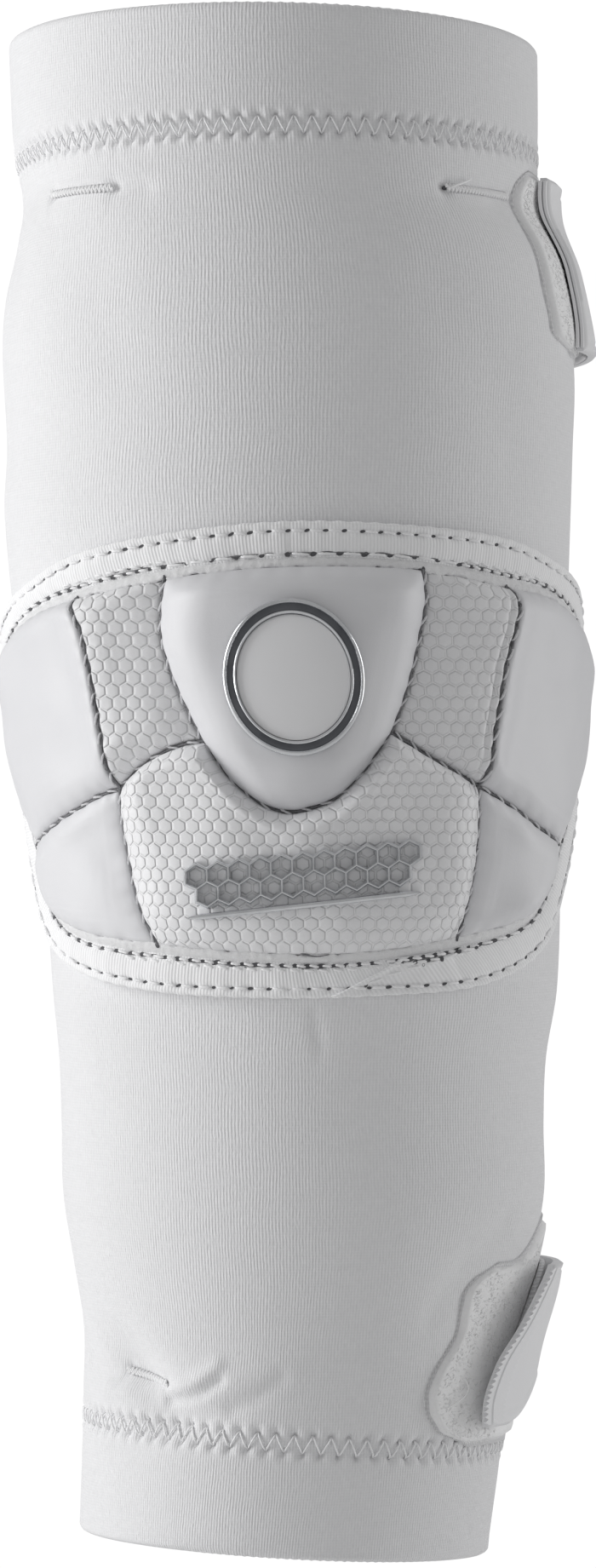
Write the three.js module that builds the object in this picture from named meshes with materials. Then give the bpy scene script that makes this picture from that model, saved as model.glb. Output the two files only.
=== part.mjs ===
// A lacrosse arm pad: a stretch knit sleeve with a padded elbow cap and two wrap straps.
// Millimetres. +Z runs up the arm, the elbow cap faces -Y, and the origin is on the arm's
// axis behind the middle of the cap.

import * as THREE from 'three';
import { mergeVertices } from 'three/addons/utils/BufferGeometryUtils.js';

// Sleeve, measured outside.
const sleeveWidth = 127;
const sleeveDepth = 106;
const upperLength = 159.5;
const lowerLength = 171;
const upperLean = 10.4;
const lowerLean = 2;
const upperTilt = 0.8;
const lowerTilt = 2.5;
const sleeveWall = 2;
const edgeRound = 1.1;

// Hems: the ends of the sleeve turned inside and sewn down.
const upperHemDepth = 26;
const lowerHemDepth = 25;
const hemWall = 1.6;
const hemSeamWidth = 3;
const hemSeamDepth = 0.7;

// Soft dents and folds pressed into the sleeve.
const dentDepth = 3.4;

// Elbow cap, measured over the curve of the sleeve.
const capWidth = 190;
const capHeight = 100;
const backingWall = 1.2;
const backingInset = 0.985;
const bindingWall = 1.4;
const bindingCover = 0.84;
const tapeCrown = 0.25;
const bindingEndLength = 33;
const bindingEndMargin = 0.05;
const tapeSlant = 0.67;
const tapeEndShift = 0.15;
const panelEdge = 2.2;
const shieldCrown = 9.5;
const honeycombCrown = 5.2;
const lowerCrown = 7.6;
const wingCrown = 4.6;
const seamGap = 0.9;
const seamRoll = 10;

// Badge place and trim.
const badgeWidth = 30.5;
const badgeHeight = 32;
const badgeCentre = 18;
const badgeRimWidth = 3;
const badgeRimWall = 1.8;
const badgeRimBevel = 0.3;
const badgeFieldWall = 1;
const badgeCount = 36;
const trimCell = 4.6;
const trimLine = 0.9;
const trimWall = 1.1;
const trimCount = 11;
const trimCentre = -23;
const trimSlope = 0.11;
const trimBarWidth = 1.2;
const trimBarDrop = 0.9;

// Straps with a moulded end tab, closing on a loop patch. Turns are degrees from the front, and
// ups are shares of the upper or lower length.
const strapWidth = 38;
const strapWall = 1.8;
const tabWall = 3.4;
const loopWall = 2.2;
const upperStrapUp = 0.702;
const lowerStrapUp = -0.7485;
const strapAnchor = 245;
const tabBack = 112;
const tabOverhang = 8;
const loopBack = 128;
const loopMargin = 7;
const loopRamp = 16;

// Gap kept between neighbouring pieces.
const clearance = 0.4;
const capGap = 0.55;

// Facets.
const roundCount = 40;
const rowPitch = 12;
const innerPitch = 27;
const hemSteps = 2;
const panelSteps = 7;
const wideSteps = 18;
const bandSteps = 78;
const stripSteps = 4;
const backingAcross = 26;
const backingDown = 7;
const bindingEndSteps = 6;
const loopSteps = 8;
const strapSteps = 20;
const tabSteps = 5;

const rad = Math.PI / 180;
const halfCap = capHeight / 2;

// The sleeve's shape along the arm. up is a share of the upper or lower length, wide of half
// the width, front and back of half the depth, and side of the whole width.
const SECTIONS = [
  { up: -1.0, wide: 0.712, front: 0.745, back: 0.735, side: -0.024 },
  { up: -0.88, wide: 0.729, front: 0.76, back: 0.75, side: -0.01 },
  { up: -0.813, wide: 0.74, front: 0.77, back: 0.76, side: -0.003 },
  { up: -0.725, wide: 0.751, front: 0.785, back: 0.77, side: 0.004 },
  { up: -0.64, wide: 0.794, front: 0.82, back: 0.8, side: 0.008 },
  { up: -0.55, wide: 0.836, front: 0.85, back: 0.83, side: 0.01 },
  { up: -0.46, wide: 0.838, front: 0.86, back: 0.835, side: 0.008 },
  { up: -0.375, wide: 0.846, front: 0.87, back: 0.84, side: 0.008 },
  { up: -0.286, wide: 0.876, front: 0.895, back: 0.86, side: 0.012 },
  { up: -0.12, wide: 0.898, front: 0.93, back: 0.87, side: 0.008 },
  { up: 0.0, wide: 0.918, front: 0.955, back: 0.88, side: 0.0 },
  { up: 0.16, wide: 0.953, front: 0.985, back: 0.91, side: -0.01 },
  { up: 0.35, wide: 0.985, front: 1.0, back: 0.94, side: -0.018 },
  { up: 0.44, wide: 0.985, front: 1.0, back: 0.95, side: -0.014 },
  { up: 0.58, wide: 1.0, front: 1.0, back: 0.96, side: -0.015 },
  { up: 0.68, wide: 0.976, front: 0.98, back: 0.94, side: -0.018 },
  { up: 0.76, wide: 0.925, front: 0.945, back: 0.905, side: -0.03 },
  { up: 0.84, wide: 0.918, front: 0.935, back: 0.9, side: -0.038 },
  { up: 1.0, wide: 0.923, front: 0.93, back: 0.9, side: -0.044 },
];

// Dents and folds of the sleeve: turn in degrees from the front, up as in SECTIONS, wide and
// tall as shares of the sleeve's width, deep as a share of the dent depth, and lean in degrees.
const DENTS = [
  { turn: -76, up: 0.79, wide: 0.16, tall: 0.06, deep: 0.9, lean: 4 },
  { turn: 62, up: 0.77, wide: 0.16, tall: 0.05, deep: 0.8, lean: -4 },
  { turn: -48, up: -0.775, wide: 0.13, tall: 0.045, deep: 1.0, lean: -30 },
  { turn: -22, up: -0.8, wide: 0.15, tall: 0.04, deep: -0.45, lean: 12 },
  { turn: -30, up: -0.83, wide: 0.16, tall: 0.035, deep: 0.55, lean: 14 },
  { turn: 50, up: -0.66, wide: 0.12, tall: 0.1, deep: 0.4, lean: -24 },
  { turn: 95, up: 0.69, wide: 0.2, tall: 0.14, deep: 0.85, lean: 0 },
  { turn: 140, up: 0.5, wide: 0.22, tall: 0.05, deep: 0.5, lean: 10 },
  { turn: 205, up: 0.08, wide: 0.4, tall: 0.05, deep: 0.7, lean: 0 },
  { turn: 165, up: -0.2, wide: 0.35, tall: 0.05, deep: 0.55, lean: -6 },
];

// The cap's edge band, clockwise from the top middle: turn and up of its outer line, then of
// its inner line where the panels start, as shares of half the cap's width and height.
const BAND = [
  { turn: 0.0, up: 1.004, inTurn: 0.0, inUp: 0.824 },
  { turn: 0.265, up: 0.992, inTurn: 0.262, inUp: 0.815 },
  { turn: 0.475, up: 0.955, inTurn: 0.459, inUp: 0.755 },
  { turn: 0.62, up: 0.886, inTurn: 0.59, inUp: 0.726 },
  { turn: 0.806, up: 0.773, inTurn: 0.745, inUp: 0.622 },
  { turn: 0.955, up: 0.56, inTurn: 0.862, inUp: 0.46 },
  { turn: 1.01, up: 0.2, inTurn: 0.9, inUp: 0.16 },
  { turn: 0.885, up: -0.14, inTurn: 0.77, inUp: -0.13 },
  { turn: 0.785, up: -0.41, inTurn: 0.668, inUp: -0.34 },
  { turn: 0.7, up: -0.62, inTurn: 0.62, inUp: -0.5 },
  { turn: 0.605, up: -0.808, inTurn: 0.54, inUp: -0.642 },
  { turn: 0.42, up: -0.938, inTurn: 0.332, inUp: -0.741 },
  { turn: 0.147, up: -0.982, inTurn: 0.1, inUp: -0.806 },
  { turn: -0.08, up: -0.99, inTurn: -0.08, inUp: -0.806 },
  { turn: -0.335, up: -0.969, inTurn: -0.32, inUp: -0.769 },
  { turn: -0.56, up: -0.895, inTurn: -0.54, inUp: -0.715 },
  { turn: -0.7, up: -0.775, inTurn: -0.645, inUp: -0.63 },
  { turn: -0.8, up: -0.58, inTurn: -0.69, inUp: -0.5 },
  { turn: -0.865, up: -0.36, inTurn: -0.72, inUp: -0.34 },
  { turn: -0.95, up: -0.08, inTurn: -0.835, inUp: -0.08 },
  { turn: -1.0, up: 0.24, inTurn: -0.895, inUp: 0.2 },
  { turn: -0.94, up: 0.54, inTurn: -0.845, inUp: 0.42 },
  { turn: -0.766, up: 0.69, inTurn: -0.708, inUp: 0.56 },
  { turn: -0.6, up: 0.8, inTurn: -0.575, inUp: 0.655 },
  { turn: -0.465, up: 0.888, inTurn: -0.449, inUp: 0.707 },
  { turn: -0.262, up: 0.957, inTurn: -0.243, inUp: 0.778 },
];

// The rows of the band where seams and panel corners meet it.
const bandRow = {
  shieldRight: 1,
  combRight: 2,
  wingTopRight: 5,
  wingRight: 8,
  footRight: 9,
  lowerRightWing: 10,
  lowerRight: 11,
  lowerLeft: 14,
  lowerLeftWing: 16,
  footLeft: 17,
  wingLeft: 18,
  wingTopLeft: 21,
  combLeft: 24,
  shieldLeft: 25,
  wholeTurn: BAND.length,
};

// Seams between the panels, as [turn, up] in the band's shares.
const SEAMS = {
  shieldLeft: [
    [-0.243, 0.778], [-0.254, 0.66], [-0.258, 0.53],
    [-0.24, 0.37], [-0.212, 0.22], [-0.187, 0.104],
  ],
  shieldLeftFoot: [[-0.187, 0.104], [-0.148, -0.03]],
  shieldFoot: [
    [-0.148, -0.03], [-0.102, -0.126], [-0.061, -0.179], [-0.019, -0.196],
    [0.024, -0.178], [0.067, -0.144], [0.137, -0.013],
  ],
  shieldRight: [
    [0.262, 0.815], [0.265, 0.68], [0.252, 0.537],
    [0.237, 0.405], [0.217, 0.273], [0.19, 0.139],
  ],
  shieldRightFoot: [[0.19, 0.139], [0.137, -0.013]],
  combLeft: [
    [-0.449, 0.707], [-0.458, 0.59], [-0.449, 0.442],
    [-0.436, 0.263], [-0.418, 0.085], [-0.387, -0.096],
  ],
  combRight: [
    [0.459, 0.755], [0.489, 0.6], [0.468, 0.428],
    [0.45, 0.248], [0.425, 0.085], [0.388, -0.084],
  ],
  middleLeft: [
    [-0.387, -0.096], [-0.334, -0.012], [-0.29, 0.042],
    [-0.241, 0.083], [-0.187, 0.104],
  ],
  middleRight: [[0.19, 0.139], [0.23, 0.089], [0.277, 0.032], [0.334, -0.028], [0.388, -0.084]],
  lowerLeft: [
    [-0.387, -0.096], [-0.387, -0.249], [-0.375, -0.447],
    [-0.356, -0.614], [-0.32, -0.769],
  ],
  lowerRight: [[0.388, -0.084], [0.385, -0.249], [0.373, -0.447], [0.355, -0.599], [0.332, -0.741]],
  wingLeft: [
    [-0.387, -0.096], [-0.437, -0.124], [-0.51, -0.181],
    [-0.585, -0.235], [-0.655, -0.29], [-0.72, -0.34],
  ],
  wingRight: [
    [0.388, -0.084], [0.433, -0.127], [0.496, -0.188],
    [0.556, -0.25], [0.629, -0.305], [0.668, -0.34],
  ],
};

// Slope-matched cubic through the rows of a table, on its first named column.
function readTable(rows, at, key, place) {
  const last = rows.length - 1;
  const x = Math.min(Math.max(place, rows[0][at]), rows[last][at]);
  let low = 0;
  while (low < last - 1 && rows[low + 1][at] < x) low += 1;
  const slope = (i) => {
    const before = rows[Math.max(i - 1, 0)];
    const after = rows[Math.min(i + 1, last)];
    return (after[key] - before[key]) / (after[at] - before[at]);
  };
  const span = rows[low + 1][at] - rows[low][at];
  const t = (x - rows[low][at]) / span;
  const rise = t * t * (3 - 2 * t);
  const start = rows[low][key] * (1 - rise) + t * (1 - t) * (1 - t) * span * slope(low);
  return start + rows[low + 1][key] * rise - t * t * (1 - t) * span * slope(low + 1);
}

function upShare(height) {
  return height >= 0 ? height / upperLength : height / lowerLength;
}

function heightOf(up, turn) {
  const side = Math.sin(turn);
  return up >= 0 ? up * (upperLength - upperTilt * side) : up * (lowerLength + lowerTilt * side);
}

const meanRadius = (sleeveWidth + sleeveDepth) / 4;

// Depth of all dents at a place on the sleeve.
function dentAt(turn, height) {
  let depth = 0;
  for (const dent of DENTS) {
    const away = Math.atan2(Math.sin(turn - dent.turn * rad), Math.cos(turn - dent.turn * rad));
    const across = away * meanRadius;
    const above = height - heightOf(dent.up, dent.turn * rad);
    const lean = dent.lean * rad;
    const along = (across * Math.cos(lean) + above * Math.sin(lean)) / (dent.wide * sleeveWidth);
    const over = (above * Math.cos(lean) - across * Math.sin(lean)) / (dent.tall * sleeveWidth);
    depth += dent.deep * dentDepth * Math.exp(-along * along - over * over);
  }
  return depth;
}

// A point on the sleeve: turn in radians from the front towards +X, height along the arm, and
// out from the outside face.
function skin(turn, height, out) {
  const up = upShare(height);
  const deep = Math.cos(turn) > 0 ? 'front' : 'back';
  const level = out - dentAt(turn, height);
  const halfWide = (readTable(SECTIONS, 'up', 'wide', up) * sleeveWidth) / 2 + level;
  const halfDeep = (readTable(SECTIONS, 'up', deep, up) * sleeveDepth) / 2 + level;
  const lean = height >= 0 ? upperLean : lowerLean;
  const length = height >= 0 ? upperLength : lowerLength;
  const tip = Math.atan((2 * lean * height) / (length * length));
  const reach = halfDeep * Math.cos(turn);
  return new THREE.Vector3(
    readTable(SECTIONS, 'up', 'side', up) * sleeveWidth + halfWide * Math.sin(turn),
    lean * up * up - reach * Math.cos(tip),
    height + reach * Math.sin(tip),
  );
}

// A closed body from its points and its triangles, turned so that its faces point out.
function body(points, faces) {
  const corner = (i) => new THREE.Vector3(points[3 * i], points[3 * i + 1], points[3 * i + 2]);
  let volume = 0;
  for (let i = 0; i < faces.length; i += 3) {
    const normal = corner(faces[i + 1]).cross(corner(faces[i + 2]));
    volume += corner(faces[i]).dot(normal);
  }
  const geometry = new THREE.BufferGeometry();
  geometry.setAttribute('position', new THREE.Float32BufferAttribute(points, 3));
  geometry.setIndex(volume < 0 ? faces.slice().reverse() : faces);
  geometry.computeVertexNormals();
  return geometry;
}

// A closed body between two grids of points with the same columns, wrapped round or not.
function closedSheet(outer, inner, wrap) {
  const columns = outer[0].length;
  const points = [];
  const faces = [];
  const number = (rows) => rows.map((row) => row.map((p) => points.push(p.x, p.y, p.z) / 3 - 1));
  const top = number(outer);
  const bottom = number(inner);
  const across = wrap ? columns : columns - 1;
  const quad = (a, b, c, d) => faces.push(a, b, c, a, c, d);
  // Both faces split their quads the same way, so that parallel faces stay parallel.
  const strip = (lower, upper, inward) => {
    for (let c = 0; c < across; c += 1) {
      const d = (c + 1) % columns;
      if (inward) quad(lower[c], upper[c], upper[d], lower[d]);
      else quad(lower[c], lower[d], upper[d], upper[c]);
    }
  };
  for (let r = 0; r < top.length - 1; r += 1) strip(top[r], top[r + 1], false);
  for (let r = 0; r < bottom.length - 1; r += 1) strip(bottom[r], bottom[r + 1], true);
  strip(bottom[0], top[0], false);
  strip(top[top.length - 1], bottom[bottom.length - 1], false);
  if (!wrap) {
    const end = columns - 1;
    for (let r = 0; r < top.length - 1; r += 1) {
      quad(top[r][0], top[r + 1][0], bottom[r + 1][0], bottom[r][0]);
      quad(top[r + 1][end], top[r][end], bottom[r][end], bottom[r + 1][end]);
    }
  }
  return body(points, faces);
}

// A ring whose section is the closed loop of the given rows.
function closedRing(rows) {
  const points = [];
  const faces = [];
  const columns = rows[0].length;
  for (const p of rows.flat()) points.push(p.x, p.y, p.z);
  for (let r = 0; r < rows.length; r += 1) {
    const next = (r + 1) % rows.length;
    for (let c = 0; c < columns; c += 1) {
      const d = (c + 1) % columns;
      faces.push(r * columns + c, r * columns + d, next * columns + d);
      faces.push(r * columns + c, next * columns + d, next * columns + c);
    }
  }
  return body(points, faces);
}

function grid(rows, columns, point) {
  const all = [];
  for (let r = 0; r < rows; r += 1) {
    const row = [];
    for (let c = 0; c < columns; c += 1) row.push(point(r, c));
    all.push(row);
  }
  return all;
}

const turnOf = (c) => (c / roundCount) * 2 * Math.PI;

// Sleeve: rows from the lower edge to the upper one, closer together at both hem seams.
const upperSeamUp = 1 - upperHemDepth / upperLength;
const lowerSeamUp = -1 + lowerHemDepth / lowerLength;

// Evenly spaced rows between two shares of the length, both included.
function rowsBetween(from, to, count) {
  return Array.from({ length: count + 1 }, (_, i) => from + ((to - from) * i) / count);
}

function outerSleeveRows() {
  const lowerStep = hemSeamWidth / lowerLength;
  const upperStep = hemSeamWidth / upperLength;
  const stretches = [
    [-1 + edgeRound / lowerLength, lowerSeamUp - lowerStep, lowerLength],
    [lowerSeamUp + lowerStep, 0, lowerLength],
    [0, upperSeamUp - upperStep, upperLength],
    [upperSeamUp + upperStep, 1 - edgeRound / upperLength, upperLength],
  ];
  const rows = [{ up: -1, out: -edgeRound }, { up: 1, out: -edgeRound }];
  for (const up of [lowerSeamUp, upperSeamUp]) rows.push({ up, out: -hemSeamDepth });
  for (const [from, to, length] of stretches) {
    const count = Math.round(((to - from) * length) / rowPitch);
    const skipped = from === 0 ? 1 : 0;
    for (const up of rowsBetween(from, to, count).slice(skipped)) rows.push({ up, out: 0 });
  }
  return rows.sort((a, b) => a.up - b.up);
}

// The inside has rows where the hems have theirs, so that the two layers stay apart.
function innerSleeveRows() {
  const middle = Math.round((upperLength + lowerLength - upperHemDepth - lowerHemDepth) / innerPitch);
  return [
    ...rowsBetween(-1, lowerSeamUp, hemSteps),
    ...rowsBetween(lowerSeamUp, upperSeamUp, middle).slice(1, -1),
    ...rowsBetween(upperSeamUp, 1, hemSteps),
  ];
}

function makeSleeve() {
  const outerRows = outerSleeveRows();
  const innerRows = innerSleeveRows();
  const point = (up, out, c) => skin(turnOf(c), heightOf(up, turnOf(c)), out);
  const outer = grid(outerRows.length, roundCount, (r, c) => point(outerRows[r].up, outerRows[r].out, c));
  const inner = grid(innerRows.length, roundCount, (r, c) => point(innerRows[r], -sleeveWall, c));
  return closedSheet(outer, inner, true);
}

// A hem is the turned-in layer, from one share of the length to another.
function makeHem(from, to) {
  const rows = rowsBetween(from, to, hemSteps);
  const face = (out) => grid(rows.length, roundCount, (r, c) => {
    return skin(turnOf(c), heightOf(rows[r], turnOf(c)), out);
  });
  const near = -sleeveWall - clearance;
  return closedSheet(face(near), face(near - hemWall), true);
}

// Cap coordinates: shares of half the cap's width over the curve and of half its height.
const elbowWidth = readTable(SECTIONS, 'up', 'wide', 0) * sleeveWidth;
const elbowDepth = readTable(SECTIONS, 'up', 'front', 0) * sleeveDepth;
const capTurn = (2 * capWidth) / (elbowWidth + elbowDepth);

function onCap(place, out) {
  return skin(place.x * capTurn, place.y * halfCap, out);
}

// Distance in millimetres between two places on the cap.
function capDistance(a, b) {
  return Math.hypot((a.x - b.x) * (capWidth / 2), (a.y - b.y) * halfCap);
}

function curveThrough(points) {
  const flat = points.map((p) => new THREE.Vector3(p[0], p[1], 0));
  const curve = new THREE.CatmullRomCurve3(flat, false, 'centripetal');
  return (t) => curve.getPoint(t);
}

function bandLine(turnKey, upKey) {
  const flat = BAND.map((row) => new THREE.Vector3(row[turnKey], row[upKey], 0));
  const curve = new THREE.CatmullRomCurve3(flat, true, 'centripetal');
  return (t) => curve.getPoint(((t % 1) + 1) % 1);
}

const bandOuter = bandLine('turn', 'up');
const bandInner = bandLine('inTurn', 'inUp');

// The part of the band's inner line between two of its rows.
function bandBetween(from, to) {
  return (t) => bandInner((from + (to - from) * t) / bandRow.wholeTurn);
}

// Curves laid end to end, each with the share of t that its length has of the whole.
function joined(...curves) {
  const lengths = curves.map((curve) => capDistance(curve(0), curve(1)));
  const whole = lengths.reduce((sum, length) => sum + length, 0);
  return (t) => {
    let left = t * whole;
    let part = 0;
    while (part < curves.length - 1 && left > lengths[part]) {
      left -= lengths[part];
      part += 1;
    }
    return curves[part](Math.min(left / lengths[part], 1));
  };
}

const reversed = (curve) => (t) => curve(1 - t);

const seam = {};
for (const [name, points] of Object.entries(SEAMS)) seam[name] = curveThrough(points);

// The panels: four edges of each, its crown over the backing, and how far in from each edge the
// padding takes to reach it, as shares of the seam roll.
const PANELS = [
  {
    name: 'shield_panel',
    left: joined(seam.shieldLeft, seam.shieldLeftFoot),
    right: joined(seam.shieldRight, seam.shieldRightFoot),
    top: bandBetween(-1, bandRow.shieldRight),
    bottom: seam.shieldFoot,
    crown: shieldCrown,
    roll: { left: 0.9, right: 0.9, top: 0.5, bottom: 1.1 },
  },
  {
    name: 'honeycomb_left',
    left: seam.combLeft,
    right: seam.shieldLeft,
    top: bandBetween(bandRow.combLeft, bandRow.shieldLeft),
    bottom: seam.middleLeft,
    crown: honeycombCrown,
    roll: { left: 0.7, right: 0.9, top: 0.5, bottom: 0.7 },
  },
  {
    name: 'honeycomb_right',
    left: seam.shieldRight,
    right: seam.combRight,
    top: bandBetween(bandRow.shieldRight, bandRow.combRight),
    bottom: seam.middleRight,
    crown: honeycombCrown,
    roll: { left: 0.9, right: 0.7, top: 0.5, bottom: 0.7 },
  },
  {
    name: 'honeycomb_lower',
    left: seam.lowerLeft,
    right: seam.lowerRight,
    top: joined(
      seam.middleLeft,
      seam.shieldLeftFoot,
      seam.shieldFoot,
      reversed(seam.shieldRightFoot),
      seam.middleRight,
    ),
    bottom: bandBetween(bandRow.lowerLeft, bandRow.lowerRight),
    crown: lowerCrown,
    roll: { left: 0.9, right: 0.9, top: 0.5, bottom: 1 },
    columns: wideSteps,
  },
  {
    name: 'wing_upper_left',
    left: reversed(bandBetween(bandRow.wingLeft, bandRow.wingTopLeft)),
    right: seam.combLeft,
    top: bandBetween(bandRow.wingTopLeft, bandRow.combLeft),
    bottom: reversed(seam.wingLeft),
    crown: wingCrown,
    roll: { left: 1, right: 0.7, top: 0.8, bottom: 0.8 },
  },
  {
    name: 'wing_upper_right',
    left: seam.combRight,
    right: bandBetween(bandRow.wingTopRight, bandRow.wingRight),
    top: bandBetween(bandRow.combRight, bandRow.wingTopRight),
    bottom: seam.wingRight,
    crown: wingCrown,
    roll: { left: 0.7, right: 1, top: 0.8, bottom: 0.8 },
  },
  {
    name: 'wing_lower_left',
    left: reversed(bandBetween(bandRow.lowerLeftWing, bandRow.wingLeft)),
    right: seam.lowerLeft,
    top: reversed(seam.wingLeft),
    bottom: reversed(bandBetween(bandRow.lowerLeft, bandRow.lowerLeftWing)),
    crown: wingCrown,
    roll: { left: 0.8, right: 0.7, top: 0.7, bottom: 0.8 },
  },
  {
    name: 'wing_lower_right',
    left: seam.lowerRight,
    right: bandBetween(bandRow.wingRight, bandRow.lowerRightWing),
    top: seam.wingRight,
    bottom: reversed(bandBetween(bandRow.lowerRightWing, bandRow.lowerRight)),
    crown: wingCrown,
    roll: { left: 0.7, right: 0.8, top: 0.7, bottom: 0.8 },
  },
];

// The four-edged blend of a panel's outline at shares u across and w down.
function blendPatch(panel, u, w) {
  const blend = new THREE.Vector3();
  const add = (point, weight) => blend.addScaledVector(point, weight);
  add(panel.top(u), 1 - w);
  add(panel.bottom(u), w);
  add(panel.left(w), 1 - u);
  add(panel.right(w), u);
  add(panel.top(0), -(1 - u) * (1 - w));
  add(panel.top(1), -u * (1 - w));
  add(panel.bottom(0), -(1 - u) * w);
  add(panel.bottom(1), -u * w);
  return blend;
}

// A quarter-round rise from 0 at the seam to 1 at the end of the roll.
function rounded(distance, roll) {
  const t = Math.min(distance / (roll * seamRoll), 1);
  return Math.sqrt(1 - (1 - t) * (1 - t));
}

const padBase = clearance + backingWall + capGap;

// A padded panel, cut back from its seams by half the seam gap and domed up to its crown.
function makePanel(panel) {
  const columns = panel.columns ?? panelSteps;
  const nearEdges = (share) => 0.5 - 0.5 * Math.cos(share * Math.PI);
  const places = grid(panelSteps + 1, columns + 1, (r, c) => {
    const u = panel.columns ? c / columns : nearEdges(c / columns);
    const w = nearEdges(r / panelSteps);
    const across = Math.max(capDistance(panel.left(w), panel.right(w)), 3 * seamGap);
    const down = Math.max(capDistance(panel.top(u), panel.bottom(u)), 3 * seamGap);
    const insetU = seamGap / 2 / across;
    const insetW = seamGap / 2 / down;
    const uIn = insetU + u * (1 - 2 * insetU);
    const wIn = insetW + w * (1 - 2 * insetW);
    const rise = rounded(u * across, panel.roll.left) * rounded((1 - u) * across, panel.roll.right)
      * rounded(w * down, panel.roll.top) * rounded((1 - w) * down, panel.roll.bottom);
    const thick = panelEdge + (panel.crown - panelEdge) * rise;
    return { place: blendPatch(panel, uIn, wIn), thick };
  });
  const rows = places.slice().reverse();
  const outer = rows.map((row) => row.map((p) => onCap(p.place, padBase + p.thick)));
  const inner = rows.map((row) => row.map((p) => onCap(p.place, padBase)));
  return closedSheet(outer, inner, false);
}

// The felt backing under the whole cap, cut just inside the tape's outer edge.
function makeBacking() {
  const edge = (from, to) => (t) => bandOuter((from + (to - from) * t) / bandRow.wholeTurn);
  const edges = {
    top: edge(bandRow.wingTopLeft - bandRow.wholeTurn, bandRow.wingTopRight),
    bottom: edge(bandRow.footLeft, bandRow.footRight),
    left: edge(bandRow.wingTopLeft, bandRow.footLeft),
    right: edge(bandRow.wingTopRight, bandRow.footRight),
  };
  const places = grid(backingDown + 1, backingAcross + 1, (r, c) => {
    return blendPatch(edges, c / backingAcross, 1 - r / backingDown).multiplyScalar(backingInset);
  });
  const face = (out) => places.map((row) => row.map((p) => onCap(p, out)));
  return closedSheet(face(clearance + backingWall), face(clearance), false);
}

// The binding tape round the cap, crowned across its width.
function tapePlace(t, share) {
  return bandOuter(t).lerp(bandInner(t), share * bindingCover);
}

function makeBinding() {
  const high = padBase + bindingWall;
  const profile = [
    { share: 0, out: padBase },
    { share: 0, out: high - tapeCrown },
    { share: 0.5, out: high },
    { share: 1, out: high - tapeCrown },
    { share: 1, out: padBase },
  ];
  return closedRing(grid(profile.length, bandSteps, (r, c) => {
    return onCap(tapePlace(c / bandSteps, profile[r].share), profile[r].out);
  }));
}

// The tape's free end, cut on the slant and laid over the band at the lower edge.
function makeBindingEnd() {
  const start = (bandRow.lowerRight + tapeEndShift) / bandRow.wholeTurn;
  const oneRow = 1 / bandRow.wholeTurn;
  const length = (bindingEndLength / capDistance(bandOuter(start), bandOuter(start + oneRow))) * oneRow;
  const low = padBase + bindingWall + clearance;
  const place = (r, c) => {
    const share = 1 - r / 2;
    const along = start + length * (1 - tapeSlant * share) * (1 - c / bindingEndSteps);
    return tapePlace(along, bindingEndMargin + (1 - 2 * bindingEndMargin) * share);
  };
  const face = (out) => grid(3, bindingEndSteps + 1, (r, c) => onCap(place(r, c), out));
  return closedSheet(face(low + bindingWall), face(low), false);
}

// A strip that follows the sleeve from one turn to another, in degrees, at a level over it.
function makeStrip({ from, to, up, level, wall, steps, slant }) {
  const place = (r, c) => {
    const share = r / stripSteps - 0.5;
    const start = from + slant * share;
    return { turn: start + ((to - start) * c) / steps, height: heightOf(up, 0) + strapWidth * share };
  };
  const face = (out) => grid(stripSteps + 1, steps + 1, (r, c) => {
    const at = place(r, c);
    return skin(at.turn * rad, at.height, level(at.turn) + out);
  });
  return closedSheet(face(wall), face(0), false);
}

// Both straps: where the loop patch and the tab start, and how far their ends slant, in degrees.
const STRAPS = {
  upper: { up: upperStrapUp, loopFrom: 63, tabFrom: 77, loopSlant: -16, tabSlant: -10 },
  lower: { up: lowerStrapUp, loopFrom: 47, tabFrom: 74, loopSlant: 17, tabSlant: 28 },
};

function makeLoopPatch(strap) {
  return makeStrip({
    from: strap.loopFrom,
    to: loopBack,
    up: strap.up,
    level: () => clearance,
    wall: loopWall,
    steps: loopSteps,
    slant: strap.loopSlant,
  });
}

// The strap lies on the loop patch and comes down to the sleeve behind it.
function strapLevel(turn) {
  const t = Math.min(Math.max((turn - loopBack - loopMargin) / loopRamp, 0), 1);
  return clearance + (loopWall + clearance) * (1 - t * t * (3 - 2 * t));
}

function makeStrap(strap) {
  return makeStrip({
    from: strap.tabFrom + tabOverhang,
    to: strapAnchor,
    up: strap.up,
    level: strapLevel,
    wall: strapWall,
    steps: strapSteps,
    slant: strap.tabSlant,
  });
}

function makeTab(strap) {
  return makeStrip({
    from: strap.tabFrom,
    to: tabBack,
    up: strap.up,
    level: () => loopWall + strapWall + 3 * clearance,
    wall: tabWall,
    steps: tabSteps,
    slant: strap.tabSlant,
  });
}

// A place on the badge or the trim, in millimetres across from the cap's middle.
function onPanel(across, height, out) {
  const halfWide = (readTable(SECTIONS, 'up', 'wide', upShare(height)) * sleeveWidth) / 2 + out;
  return skin(Math.asin(across / halfWide), height, out);
}

const badgeBase = padBase + shieldCrown + clearance;

function badgePoint(column, share, out) {
  const angle = (column / badgeCount) * 2 * Math.PI;
  const across = (badgeWidth / 2) * share * Math.sin(angle);
  return onPanel(across, badgeCentre + (badgeHeight / 2) * share * Math.cos(angle), out);
}

const rimInner = 1 - badgeRimWidth / (badgeWidth / 2);

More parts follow.
